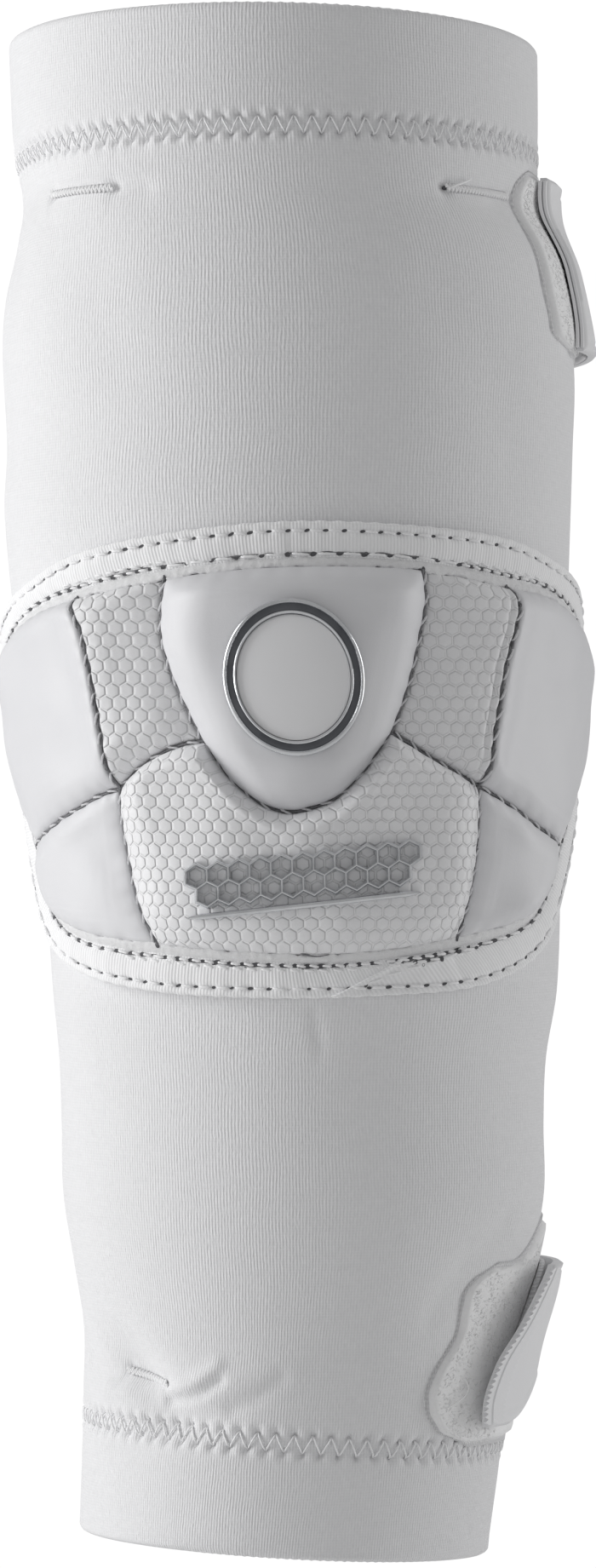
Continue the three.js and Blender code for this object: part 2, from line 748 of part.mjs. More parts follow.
// The rim is a bevelled oval ring.
function makeBadgeRim() {
  const shoulder = badgeBase + badgeRimWall * (1 - badgeRimBevel);
  const width = 1 - rimInner;
  const rows = [
    { share: 1, out: badgeBase },
    { share: 1, out: shoulder },
    { share: 1 - badgeRimBevel * width, out: badgeBase + badgeRimWall },
    { share: rimInner + badgeRimBevel * width, out: badgeBase + badgeRimWall },
    { share: rimInner, out: shoulder },
    { share: rimInner, out: badgeBase },
  ];
  const point = (r, c) => badgePoint(c, rows[r].share, rows[r].out);
  return closedRing(grid(rows.length, badgeCount, point));
}

// The field is a plain oval plate inside the rim.
function makeBadgeField() {
  const edge = rimInner - clearance / (badgeWidth / 2);
  const rings = [
    { share: edge, out: badgeBase },
    { share: edge, out: badgeBase + badgeFieldWall },
    { share: edge / 2, out: badgeBase + badgeFieldWall },
  ];
  const points = [];
  const faces = [];
  for (const ring of rings) {
    for (let c = 0; c < badgeCount; c += 1) {
      const p = badgePoint(c, ring.share, ring.out);
      points.push(p.x, p.y, p.z);
    }
  }
  const top = badgePoint(0, 0, badgeBase + badgeFieldWall);
  const bottom = badgePoint(0, 0, badgeBase);
  const bottomNumber = points.push(bottom.x, bottom.y, bottom.z) / 3 - 1;
  const topNumber = points.push(top.x, top.y, top.z) / 3 - 1;
  const last = (rings.length - 1) * badgeCount;
  for (let c = 0; c < badgeCount; c += 1) {
    const d = (c + 1) % badgeCount;
    for (let r = 0; r < last; r += badgeCount) {
      faces.push(r + c, r + d, r + badgeCount + d, r + c, r + badgeCount + d, r + badgeCount + c);
    }
    faces.push(last + c, last + d, topNumber);
    faces.push(d, c, bottomNumber);
  }
  return body(points, faces);
}

const trimBase = padBase + lowerCrown + clearance;

function onTrim(x, y, out) {
  return onPanel(x, trimCentre + y + trimSlope * x, trimBase + out);
}

// The trim's cells stand point up in two staggered rows, the lower one a cell shorter.
const cellSide = trimCell / Math.sqrt(3);

function trimRow(row) {
  const count = trimCount - row;
  const y = (0.5 - row) * 1.5 * cellSide;
  return Array.from({ length: count }, (_, i) => ({ x: (i - (count - 1) / 2) * trimCell, y }));
}

// The outline that goes round both rows, half a line outside the cells.
function trimOutline() {
  const radius = (trimCell + trimLine) / Math.sqrt(3);
  const half = (trimCell + trimLine) / 2;
  const valley = radius - trimCell / (2 * Math.sqrt(3));
  const right = [];
  const [upper, lower] = [trimRow(0), trimRow(1)];
  const lastUpper = upper[upper.length - 1];
  const lastLower = lower[lower.length - 1];
  right.push([lastUpper.x + half, lastUpper.y + radius / 2]);
  right.push([lastUpper.x + half, lastUpper.y - radius / 2]);
  right.push([lastUpper.x + trimLine / 2, lastUpper.y - radius + trimLine / (2 * Math.sqrt(3))]);
  right.push([lastLower.x + half, lastLower.y - radius / 2]);
  const crest = (row, sign) => row.flatMap((cell, i) => {
    const tip = [cell.x, cell.y + sign * radius];
    return i < row.length - 1 ? [tip, [cell.x + trimCell / 2, cell.y + sign * valley]] : [tip];
  });
  const left = right.map(([x, y]) => [-x, y]).reverse();
  return [...crest(upper, 1), ...right, ...crest(lower, -1).reverse(), ...left].reverse();
}

function makeTrim() {
  const flat = (points) => points.map(([x, y]) => new THREE.Vector2(x, y));
  const shape = new THREE.Shape(flat(trimOutline()));
  const radius = (trimCell - trimLine) / Math.sqrt(3);
  for (const cell of [...trimRow(0), ...trimRow(1)]) {
    const corners = Array.from({ length: 6 }, (_, i) => {
      const angle = (i / 3) * Math.PI;
      return [cell.x + radius * Math.sin(angle), cell.y + radius * Math.cos(angle)];
    });
    shape.holes.push(new THREE.Path(flat(corners)));
  }
  const plate = new THREE.ExtrudeGeometry(shape, { depth: trimWall, bevelEnabled: false });
  plate.deleteAttribute('normal');
  plate.deleteAttribute('uv');
  const merged = mergeVertices(plate, 1e-4);
  const at = merged.attributes.position;
  const points = [];
  for (let i = 0; i < at.count; i += 1) {
    const p = onTrim(at.getX(i), at.getY(i), at.getZ(i));
    points.push(p.x, p.y, p.z);
  }
  return body(points, Array.from(merged.index.array));
}

// A slim bar that runs under the trim's cells.
function makeTrimBar() {
  const half = (trimCount * trimCell) / 2;
  const top = trimRow(1)[0].y - (trimCell + trimLine) / Math.sqrt(3) - trimBarDrop;
  const face = (out) => grid(2, trimCount + 1, (r, c) => {
    return onTrim(-half + (2 * half * c) / trimCount, top - trimBarWidth * (1 - r), out);
  });
  return closedSheet(face(trimWall), face(0), false);
}

const material = (color, roughness, metalness = 0) => new THREE.MeshStandardMaterial({
  color,
  roughness,
  metalness,
  flatShading: true,
});

const knit = material(0xe8e8e9, 0.9);
const hemKnit = material(0xdedee0, 0.92);
const felt = material(0xd6d7d9, 1);
const tape = material(0xf0f0f0, 0.85);
const smoothLeather = material(0xececed, 0.45);
const embossedLeather = material(0xe2e2e4, 0.5);
const brightMetal = material(0xb9bbbe, 0.25, 1);
const paleField = material(0xdcdde0, 0.5);
const loopPile = material(0xf2f2f2, 1);
const webbing = material(0xe4e4e6, 0.8);
const mouldedTab = material(0xdddee0, 0.55);

const pad = new THREE.Group();

function addPiece(name, geometry, finish) {
  const mesh = new THREE.Mesh(geometry, finish);
  mesh.name = name;
  pad.add(mesh);
}

addPiece('sleeve', makeSleeve(), knit);
addPiece('upper_hem', makeHem(upperSeamUp, 1), hemKnit);
addPiece('lower_hem', makeHem(-1, lowerSeamUp), hemKnit);
addPiece('cap_backing', makeBacking(), felt);
for (const panel of PANELS) {
  const embossed = panel.name.startsWith('honeycomb');
  addPiece(panel.name, makePanel(panel), embossed ? embossedLeather : smoothLeather);
}
addPiece('binding', makeBinding(), tape);
addPiece('binding_end', makeBindingEnd(), tape);
addPiece('badge_rim', makeBadgeRim(), brightMetal);
addPiece('badge_field', makeBadgeField(), paleField);
addPiece('trim', makeTrim(), brightMetal);
addPiece('trim_bar', makeTrimBar(), brightMetal);
for (const [side, strap] of Object.entries(STRAPS)) {
  addPiece(`${side}_loop_patch`, makeLoopPatch(strap), loopPile);
  addPiece(`${side}_strap`, makeStrap(strap), webbing);
  addPiece(`${side}_strap_tab`, makeTab(strap), mouldedTab);
}

export default pad;
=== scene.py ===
"""A lacrosse arm pad: its knit, leather, tape, stitches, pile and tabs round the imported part."""
import math

import bpy
import numpy as np
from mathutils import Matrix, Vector


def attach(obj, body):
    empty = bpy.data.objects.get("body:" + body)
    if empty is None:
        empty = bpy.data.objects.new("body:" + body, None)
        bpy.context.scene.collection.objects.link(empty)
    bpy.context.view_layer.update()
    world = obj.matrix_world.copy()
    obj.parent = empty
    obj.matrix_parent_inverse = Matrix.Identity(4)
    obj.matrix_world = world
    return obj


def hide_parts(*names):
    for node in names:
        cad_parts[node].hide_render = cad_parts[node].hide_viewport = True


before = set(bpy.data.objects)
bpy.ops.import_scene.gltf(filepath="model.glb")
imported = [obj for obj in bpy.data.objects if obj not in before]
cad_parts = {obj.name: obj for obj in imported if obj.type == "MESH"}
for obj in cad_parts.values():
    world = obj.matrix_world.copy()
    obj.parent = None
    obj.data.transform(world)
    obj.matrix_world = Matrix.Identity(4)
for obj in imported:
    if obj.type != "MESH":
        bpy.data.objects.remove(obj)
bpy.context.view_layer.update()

rng = np.random.default_rng(7)
MM = 0.001

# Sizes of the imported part, in millimetres, repeated from its source.
sleeve_width, sleeve_depth = 127.0, 106.0
upper_length, lower_length = 159.5, 171.0
upper_lean, lower_lean = 10.4, 2.0
upper_tilt, lower_tilt = 0.8, 2.5
fold_wall = 4.0
sleeve_wall = 2.0
upper_hem, lower_hem = 26.0, 25.0
dent_depth = 3.4
cap_width, cap_height = 190.0, 100.0
pad_base = 2.15
tape_top = 3.55
tape_cover = 0.84
panel_edge = 2.2
seam_roll = 10.0
badge_width, badge_height, badge_centre = 30.5, 32.0, 18.0
shield_crown, comb_crown, clearance = 9.5, 7.6, 0.4
badge_base = pad_base + shield_crown + clearance
trim_base = pad_base + comb_crown + clearance
trim_cell, trim_line, trim_wall = 4.6, 0.9, 1.1
trim_count, trim_centre, trim_slope = 11, -23.0, 0.11
strap_width = 38.0
# The embossed cells' width.
comb_cell = 3.0

# up, wide, front, back and side of the sleeve's sections.
SECTIONS = np.array([
    (-1.0, 0.712, 0.745, 0.735, -0.024), (-0.88, 0.729, 0.76, 0.75, -0.01),
    (-0.813, 0.74, 0.77, 0.76, -0.003), (-0.725, 0.751, 0.785, 0.77, 0.004),
    (-0.64, 0.794, 0.82, 0.8, 0.008), (-0.55, 0.836, 0.85, 0.83, 0.01),
    (-0.46, 0.838, 0.86, 0.835, 0.008), (-0.375, 0.846, 0.87, 0.84, 0.008),
    (-0.286, 0.876, 0.895, 0.86, 0.012), (-0.12, 0.898, 0.93, 0.87, 0.008),
    (0.0, 0.918, 0.955, 0.88, 0.0), (0.16, 0.953, 0.985, 0.91, -0.01),
    (0.35, 0.985, 1.0, 0.94, -0.018), (0.44, 0.985, 1.0, 0.95, -0.014),
    (0.58, 1.0, 1.0, 0.96, -0.015), (0.68, 0.976, 0.98, 0.94, -0.018),
    (0.76, 0.925, 0.945, 0.905, -0.03), (0.84, 0.918, 0.935, 0.9, -0.038),
    (1.0, 0.923, 0.93, 0.9, -0.044),
])
# turn, up, wide, tall, deep and lean of the sleeve's dents.
DENTS = [
    (-76, 0.79, 0.16, 0.06, 0.9, 4), (62, 0.77, 0.16, 0.05, 0.8, -4),
    (-48, -0.775, 0.13, 0.045, 1.0, -30), (-22, -0.8, 0.15, 0.04, -0.45, 12),
    (-30, -0.83, 0.16, 0.035, 0.55, 14), (50, -0.66, 0.12, 0.1, 0.4, -24),
    (95, 0.69, 0.2, 0.14, 0.85, 0), (140, 0.5, 0.22, 0.05, 0.5, 10),
    (205, 0.08, 0.4, 0.05, 0.7, 0), (165, -0.2, 0.35, 0.05, 0.55, -6),
]
# turn, up, inner turn and inner up of the cap's edge band, clockwise from the top middle.
BAND = np.array([
    (0.0, 1.004, 0.0, 0.824), (0.265, 0.992, 0.262, 0.815), (0.475, 0.955, 0.459, 0.755),
    (0.62, 0.886, 0.59, 0.726), (0.806, 0.773, 0.745, 0.622), (0.955, 0.56, 0.862, 0.46),
    (1.01, 0.2, 0.9, 0.16), (0.885, -0.14, 0.77, -0.13), (0.785, -0.41, 0.668, -0.34),
    (0.7, -0.62, 0.62, -0.5), (0.605, -0.808, 0.54, -0.642), (0.42, -0.938, 0.332, -0.741),
    (0.147, -0.982, 0.1, -0.806), (-0.08, -0.99, -0.08, -0.806), (-0.335, -0.969, -0.32, -0.769),
    (-0.56, -0.895, -0.54, -0.715), (-0.7, -0.775, -0.645, -0.63), (-0.8, -0.58, -0.69, -0.5),
    (-0.865, -0.36, -0.72, -0.34), (-0.95, -0.08, -0.835, -0.08), (-1.0, 0.24, -0.895, 0.2),
    (-0.94, 0.54, -0.845, 0.42), (-0.766, 0.69, -0.708, 0.56), (-0.6, 0.8, -0.575, 0.655),
    (-0.465, 0.888, -0.449, 0.707), (-0.262, 0.957, -0.243, 0.778),
])
SEAMS = {
    "shield_left": [
        (-0.243, 0.778), (-0.254, 0.66), (-0.258, 0.53),
        (-0.24, 0.37), (-0.212, 0.22), (-0.187, 0.104)],
    "shield_left_foot": [(-0.187, 0.104), (-0.148, -0.03)],
    "shield_foot": [
        (-0.148, -0.03), (-0.102, -0.126), (-0.061, -0.179), (-0.019, -0.196),
        (0.024, -0.178), (0.067, -0.144), (0.137, -0.013)],
    "shield_right": [
        (0.262, 0.815), (0.265, 0.68), (0.252, 0.537),
        (0.237, 0.405), (0.217, 0.273), (0.19, 0.139)],
    "shield_right_foot": [(0.19, 0.139), (0.137, -0.013)],
    "comb_left": [
        (-0.449, 0.707), (-0.418, 0.59), (-0.404, 0.442),
        (-0.395, 0.263), (-0.388, 0.085), (-0.387, -0.096)],
    "comb_right": [
        (0.459, 0.755), (0.446, 0.6), (0.421, 0.428),
        (0.404, 0.248), (0.39, 0.085), (0.388, -0.084)],
    "middle_left": [(-0.387, -0.096), (-0.334, -0.012), (-0.29, 0.042), (-0.241, 0.083), (-0.187, 0.104)],
    "middle_right": [(0.19, 0.139), (0.23, 0.089), (0.277, 0.032), (0.334, -0.028), (0.388, -0.084)],
    "lower_left": [(-0.387, -0.096), (-0.387, -0.249), (-0.375, -0.447), (-0.356, -0.614), (-0.32, -0.769)],
    "lower_right": [(0.388, -0.084), (0.385, -0.249), (0.373, -0.447), (0.355, -0.599), (0.332, -0.741)],
    "wing_left": [
        (-0.387, -0.096), (-0.437, -0.124), (-0.51, -0.181),
        (-0.585, -0.235), (-0.655, -0.29), (-0.72, -0.34)],
    "wing_right": [
        (0.388, -0.084), (0.433, -0.127), (0.496, -0.188),
        (0.556, -0.25), (0.629, -0.305), (0.668, -0.34)],
}


# Small helpers

def bell(distance, width):
    """1 at no distance, and falling smoothly away over a width."""
    return np.exp(-(distance / width) ** 2)


def eased(t):
    """A share from 0 to 1 that starts and ends softly."""
    return t * t * (3 - 2 * t)


def swelling(share):
    """The swell of a thread between its two ends."""
    return np.sqrt(np.clip(1 - (2 * share - 1) ** 4, 0, 1))


def unit(v):
    return v / np.maximum(np.linalg.norm(v, axis=-1, keepdims=True), 1e-9)


def table_columns(table):
    """Each column of a table, to go with a row of places."""
    return (np.array(column)[:, None] for column in zip(*table))


# The sleeve's surface

def read_table(rows, column, place):
    """The slope-matched cubic through one column of a table."""
    x = np.clip(place, rows[0, 0], rows[-1, 0])
    last = len(rows) - 1
    low = np.clip(np.searchsorted(rows[:, 0], x, side="left") - 1, 0, last - 1)
    after, before = np.minimum(np.arange(last + 1) + 1, last), np.maximum(np.arange(last + 1) - 1, 0)
    slope = (rows[after, column] - rows[before, column]) / (rows[after, 0] - rows[before, 0])
    span = rows[low + 1, 0] - rows[low, 0]
    t = (x - rows[low, 0]) / span
    rise = eased(t)
    start = rows[low, column] * (1 - rise) + t * (1 - t) ** 2 * span * slope[low]
    return start + rows[low + 1, column] * rise - t * t * (1 - t) * span * slope[low + 1]


def height_of(up, turn):
    """The height of a share of the sleeve's length, whose ends are cut a little aslant."""
    tilt = np.sin(turn)
    return np.where(up >= 0, up * (upper_length - upper_tilt * tilt), up * (lower_length + lower_tilt * tilt))


mean_radius = (sleeve_width + sleeve_depth) / 4


def dent_at(turn, height):
    """How deep the sleeve's dents are at a place."""
    depth = 0.0
    for at, up, wide, tall, deep, lean in DENTS:
        middle, slant = math.radians(at), math.radians(lean)
        away = np.arctan2(np.sin(turn - middle), np.cos(turn - middle)) * mean_radius
        above = height - height_of(np.float64(up), middle)
        along = (away * math.cos(slant) + above * math.sin(slant)) / (wide * sleeve_width)
        over = (above * math.cos(slant) - away * math.sin(slant)) / (tall * sleeve_width)
        depth = depth + deep * dent_depth * np.exp(-along * along - over * over)
    return depth


def skin(turn, height, out):
    """A point on the sleeve, in millimetres, at a turn in radians, a height and a level over it."""
    turn, height, out = np.broadcast_arrays(*(np.asarray(v, dtype=float) for v in (turn, height, out)))
    length = np.where(height >= 0, upper_length, lower_length)
    lean = np.where(height >= 0, upper_lean, lower_lean)
    up = height / length
    level = out - dent_at(turn, height)
    front, back = read_table(SECTIONS, 2, up), read_table(SECTIONS, 3, up)
    half_wide = read_table(SECTIONS, 1, up) * sleeve_width / 2 + level
    half_deep = np.where(np.cos(turn) > 0, front, back) * sleeve_depth / 2 + level
    tip = np.arctan(2 * lean * height / (length * length))
    reach = half_deep * np.cos(turn)
    return np.stack([
        read_table(SECTIONS, 4, up) * sleeve_width + half_wide * np.sin(turn),
        lean * up * up - reach * np.cos(tip),
        height + reach * np.sin(tip),
    ], axis=-1)


# The sleeve's width and depth at the elbow, in millimetres, and the cap's half turn round it in radians.
elbow_wide = read_table(SECTIONS, 1, 0.0) * sleeve_width
elbow_deep = read_table(SECTIONS, 2, 0.0) * sleeve_depth
cap_turn = 2 * cap_width / (elbow_wide + elbow_deep)
half_cap = cap_height / 2


def on_cap(place, out):
    """A point over the cap, at a place in half widths and half heights of it and a level over the sleeve."""
    return skin(place[..., 0] * cap_turn, place[..., 1] * half_cap, out)


def over_sleeve(turn, height, out):
    """Places over the sleeve, and the way out of it there."""
    line = skin(turn, height, out)
    return line, unit(skin(turn, height, out + 1.0) - line)


def over_cap(place, out):
    """Places over the cap, and the way out of it there."""
    line = on_cap(place, out)
    return line, unit(on_cap(place, out + 1.0) - line)


def cap_distance(a, b):
    """Millimetres between two places on the cap, as it lies flat."""
    return np.hypot((a[..., 0] - b[..., 0]) * cap_width / 2, (a[..., 1] - b[..., 1]) * half_cap)


def on_panel(across, height, out):
    """A point over the cap that is seen from the front at this many millimetres across."""
    half_wide = read_table(SECTIONS, 1, height / np.where(height >= 0, upper_length, lower_length))
    return skin(np.arcsin(across / (half_wide * sleeve_width / 2 + out)), height, out)


# Curves on the cap

def smooth_line(points, closed=False):
    """A centripetal curve through points, as a function of shares 0 to 1."""
    rows = np.array(points, dtype=float)
    count = len(rows)

    def at(share):
        share = np.asarray(share, dtype=float)
        run = (share % 1.0) * count if closed else np.clip(share, 0, 1) * (count - 1)
        low = np.floor(run).astype(int) if closed else np.minimum(np.floor(run).astype(int), count - 2)
        t = (run - low)[..., None]
        if closed:
            p0, p1, p2, p3 = (rows[(low + k) % count] for k in (-1, 0, 1, 2))
        else:
            first, final = 2 * rows[0] - rows[1], 2 * rows[-1] - rows[-2]
            longer = np.vstack([first, rows, final])
            p0, p1, p2, p3 = (longer[low + k] for k in (0, 1, 2, 3))
        d0, d1, d2 = (np.sqrt(np.linalg.norm(b - a, axis=-1, keepdims=True))
                      for a, b in ((p0, p1), (p1, p2), (p2, p3)))
        m1 = ((p1 - p0) / d0 - (p2 - p0) / (d0 + d1) + (p2 - p1) / d1) * d1
        m2 = ((p2 - p1) / d1 - (p3 - p1) / (d1 + d2) + (p3 - p2) / d2) * d1
        return (p1 + m1 * t + (-3 * p1 + 3 * p2 - 2 * m1 - m2) * t ** 2
                + (2 * p1 - 2 * p2 + m1 + m2) * t ** 3)
    return at


band_outer = smooth_line(BAND[:, :2], closed=True)
band_inner = smooth_line(BAND[:, 2:], closed=True)
seam = {name: smooth_line(points) for name, points in SEAMS.items()}


def band_between(start, end, line=band_inner):
    """A stretch of the band's inner or outer edge, on the band's numbering."""
    return lambda t: line((start + (end - start) * np.asarray(t)) / len(BAND))


def back_to_front(curve):
    return lambda t: curve(1 - np.asarray(t))


def joined(*curves):
    """Curves laid end to end, each with the share of t that its length has of the whole."""
    lengths = [float(cap_distance(c(0.0), c(1.0))) for c in curves]
    ends = np.cumsum(lengths) / sum(lengths)

    def at(t):
        t = np.asarray(t, dtype=float)
        found = np.zeros(t.shape + (2,))
        for k, curve in enumerate(curves):
            start = ends[k - 1] if k else 0.0
            here = (t >= start) if k else np.full(t.shape, True)
            share = np.clip((t - start) / (ends[k] - start), 0, 1)
            found = np.where(here[..., None], curve(share), found)
        return found
    return at


# left, right, top, bottom, crown and rolls of each padded panel.
PANELS = {
    "shield_panel": (
        joined(seam["shield_left"], seam["shield_left_foot"]),
        joined(seam["shield_right"], seam["shield_right_foot"]),
        band_between(-1, 1), seam["shield_foot"], shield_crown, (1.15, 1.15, 0.6, 1.2)),
    "honeycomb_left": (
        seam["comb_left"], seam["shield_left"], band_between(24, 25), seam["middle_left"],
        5.6, (0.7, 2.0, 0.5, 0.7)),
    "honeycomb_right": (
        seam["shield_right"], seam["comb_right"], band_between(1, 2), seam["middle_right"],
        5.6, (2.0, 0.7, 0.5, 0.7)),
    "honeycomb_lower": (
        seam["lower_left"], seam["lower_right"],
        joined(seam["middle_left"], seam["shield_left_foot"], seam["shield_foot"],
               back_to_front(seam["shield_right_foot"]), seam["middle_right"]),
        band_between(14, 11), comb_crown, (0.9, 0.9, 0.5, 1.0)),
    "wing_upper_left": (
        back_to_front(band_between(18, 21)), seam["comb_left"], band_between(21, 24),
        back_to_front(seam["wing_left"]), 4.8, (1.0, 2.0, 0.8, 0.8)),
    "wing_upper_right": (
        seam["comb_right"], band_between(5, 8), band_between(2, 5), seam["wing_right"],
        4.8, (1.4, 1.0, 0.8, 0.8)),
    "wing_lower_left": (
        back_to_front(band_between(16, 18)), seam["lower_left"], back_to_front(seam["wing_left"]),
        back_to_front(band_between(14, 16)), 4.8, (0.8, 2.0, 0.7, 0.8)),
    "wing_lower_right": (
        seam["lower_right"], band_between(8, 10), seam["wing_right"],
        back_to_front(band_between(10, 11)), 4.8, (1.4, 0.8, 0.7, 0.8)),
}


def patch(left, right, top, bottom, u, w):
    """The four-edged blend of curves at shares u across and w down, one row for each w."""
    uu, ww = u[None, :, None], w[:, None, None]
    corners = (top(0.0) * (1 - uu) * (1 - ww) + top(1.0) * uu * (1 - ww)
               + bottom(0.0) * (1 - uu) * ww + bottom(1.0) * uu * ww)
    return (top(u)[None] * (1 - ww) + bottom(u)[None] * ww + left(w)[:, None] * (1 - uu)
            + right(w)[:, None] * uu - corners)


def drift(x, y, size, seed):
    """Slow unevenness between about -1 and 1, with waves about size long."""
    waves = np.random.default_rng(seed)
    total = 0.0
    for _ in range(6):
        angle, phase = waves.uniform(0, 2 * math.pi, 2)
        rate = 2 * math.pi / (size * waves.uniform(0.7, 1.5))
        total = total + np.sin((x * math.cos(angle) + y * math.sin(angle)) * rate + phase)
    return total / 3.5


# Meshes

def grid_quads(number):
    """The quads between the numbered points of a grid."""
    corners = [number[:-1, :-1], number[:-1, 1:], number[1:, 1:], number[1:, :-1]]
    return np.stack(corners, axis=-1).reshape(-1, 4)


def sheet_body(outer, inner):
    """Points and quads of a closed body between two grids of the same rows and columns."""
    rows, columns = outer.shape[:2]
    points = np.concatenate([outer.reshape(-1, 3), inner.reshape(-1, 3)])
    top = np.arange(rows * columns).reshape(rows, columns)
    low = top + rows * columns

    def strip(a, b):
        return np.stack([a[:-1], a[1:], b[1:], b[:-1]], axis=-1).reshape(-1, 4)
    quads = [
        grid_quads(top),
        np.stack([low[:-1, :-1], low[1:, :-1], low[1:, 1:], low[:-1, 1:]], axis=-1).reshape(-1, 4),
        strip(low[0], top[0]), strip(top[-1], low[-1]),
        strip(top[:, 0], low[:, 0]), strip(low[:, -1], top[:, -1]),
    ]
    return points, [np.concatenate(quads)]


def ring_body(rows):
    """Points and quads of a ring whose section is the closed loop of its rows."""
    count, columns = rows.shape[:2]
    number = np.arange(count * columns).reshape(count, columns)
    across, above = np.roll(number, -1, axis=1), np.roll(number, -1, axis=0)
    corner = np.roll(above, -1, axis=1)
    quads = np.stack([number, across, corner, above], axis=-1).reshape(-1, 4)
    return rows.reshape(-1, 3), [quads]


def ringed_bodies(rings):
    """Closed bodies (n, k, sides, 3) from rings laid end to end, with a cap at both ends."""
    number = np.arange(rings[..., 0].size).reshape(rings.shape[:3])
    beside = np.roll(number, -1, axis=2)
    quads = np.stack([number[:, :-1], beside[:, :-1], beside[:, 1:], number[:, 1:]], axis=-1).reshape(-1, 4)
    caps = np.concatenate([number[:, 0, ::-1], number[:, -1]])
    return rings.reshape(-1, 3), [quads, caps]


def tube_bodies(lines, ups, radius, sides=7, twist=0.0):
    """Closed tubes along lines (n, k, 3); a twist draws the plies of a thread."""
    count, steps = lines.shape[:2]
    along = unit(np.gradient(lines, axis=1))
    side = unit(np.cross(along, ups))
    over = np.cross(side, along)
    angle = 2 * math.pi * np.arange(sides) / sides
    run = np.concatenate([np.zeros((count, 1)),
                          np.cumsum(np.linalg.norm(np.diff(lines, axis=1), axis=-1), axis=1)], axis=1)
    ply = 1 + (0.16 * np.cos(2 * angle[None, None] - twist * run[..., None]) if twist else 0.0)
    reach = np.broadcast_to(radius, (count, steps))[..., None] * ply
    reach = np.broadcast_to(reach, (count, steps, sides))[..., None]
    rings = lines[:, :, None] + reach * (np.cos(angle)[:, None] * side[:, :, None]
                                         + np.sin(angle)[:, None] * over[:, :, None])
    return ringed_bodies(rings)


def merged(parts):
    """Several bodies as one."""
    points, faces, start = [], {}, 0
    for these, groups in parts:
        points.append(these)
        for group in groups:
            faces.setdefault(group.shape[1], []).append(group + start)
        start += len(these)
    return np.concatenate(points), [np.concatenate(group) for group in faces.values()]


def make_piece(name, body, finish, nodes, cloth=None, crisp=None):
    """A mesh piece on the arm pad, with its flat layout in metres and the angle of its sharp edges."""
    points, groups = body
    volume = 0.0
    for group in groups:
        for k in range(1, group.shape[1] - 1):
            a, b, c = points[group[:, 0]], points[group[:, k]], points[group[:, k + 1]]
            volume += float((a * np.cross(b, c)).sum())
    if volume < 0:
        groups = [group[:, ::-1] for group in groups]
    mesh = bpy.data.meshes.new(name)
    mesh.vertices.add(len(points))
    mesh.vertices.foreach_set("co", (points * MM).astype(np.float32).ravel())
    corners = np.concatenate([group.ravel() for group in groups])
    sizes = np.concatenate([np.full(len(group), group.shape[1]) for group in groups])
    mesh.loops.add(len(corners))
    mesh.loops.foreach_set("vertex_index", corners.astype(np.int32))
    mesh.polygons.add(len(sizes))
    mesh.polygons.foreach_set("loop_start", (np.cumsum(sizes) - sizes).astype(np.int32))
    mesh.update(calc_edges=True)
    mesh.validate()
    mesh.polygons.foreach_set("use_smooth", np.ones(len(mesh.polygons), dtype=bool))
    if crisp is not None:
        mesh.set_sharp_from_angle(angle=math.radians(crisp))
    if cloth is not None:
        layout = mesh.uv_layers.new(name="cloth")
        flat = np.asarray(cloth, dtype=np.float32).reshape(-1, 2)[corners]
        layout.data.foreach_set("uv", flat.ravel())
    mesh.materials.append(finish)
    piece = bpy.data.objects.new(name, mesh)
    bpy.context.scene.collection.objects.link(piece)
    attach(piece, "root")
    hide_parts(*nodes)
    return piece


def two_sides(flat):
    """The same flat layout for both faces of a sheet."""
    return np.concatenate([flat.reshape(-1, 2)] * 2)


def wrap_cloth(piece, body, flat):
    """A ring's flat layout. It can't wrap, so its last faces take corners of their own: one column more."""
    quads = body[1][0]
    columns = flat.shape[1] - 1
    column, row = quads % columns, quads // columns
    wrapped = (column == 0) & (column[:, :1] == columns - 1)
    corner_flat = flat[row, np.where(wrapped, columns, column)]
    order = np.empty(len(piece.data.loops), dtype=np.int32)
    piece.data.loops.foreach_get("vertex_index", order)
    if not np.array_equal(order, quads.ravel()):
        corner_flat = corner_flat[:, ::-1]
    piece.data.uv_layers["cloth"].data.foreach_set("uv", corner_flat.astype(np.float32).ravel())
    return piece


# Finishes

def linear(code):
    """An sRGB hex colour as linear light."""
    shares = [int(code[k:k + 2], 16) / 255 for k in (1, 3, 5)]
    return tuple(s / 12.92 if s <= 0.04045 else ((s + 0.055) / 1.055) ** 2.4 for s in shares) + (1.0,)


def add(tree, kind, settings=None, links=None):
    """A node with its settings, and its sockets set to a value or linked to another's output."""
    node = tree.nodes.new(kind)
    for name, value in (settings or {}).items():
        setattr(node, name, value)
    for socket, value in (links or {}).items():
        if isinstance(value, bpy.types.NodeSocket):
            tree.links.new(value, node.inputs[socket])
        else:
            node.inputs[socket].default_value = value
    return node


def new_finish(name, **surface):
    """A material with one principled shader. Names of its sockets are given with _ for a space."""
    finish = bpy.data.materials.new(name)
    finish.use_nodes = True
    tree = finish.node_tree
    tree.nodes.clear()
    shader = add(tree, "ShaderNodeBsdfPrincipled", links={k.replace("_", " "): v for k, v in surface.items()})
    add(tree, "ShaderNodeOutputMaterial", links={"Surface": shader.outputs["BSDF"]})
    return finish, tree, shader


def waves(tree, place, pitch):
    """A ridge profile from 0 to 1 repeated every pitch metres along one flat coordinate."""
    turns = add(tree, "ShaderNodeMath", {"operation": "MULTIPLY"}, {0: place, 1: 2 * math.pi / pitch})
    wave = add(tree, "ShaderNodeMath", {"operation": "SINE"}, {0: turns.outputs[0]})
    return add(tree, "ShaderNodeMath", {"operation": "MULTIPLY_ADD"}, {0: wave.outputs[0], 1: 0.5, 2: 0.5})


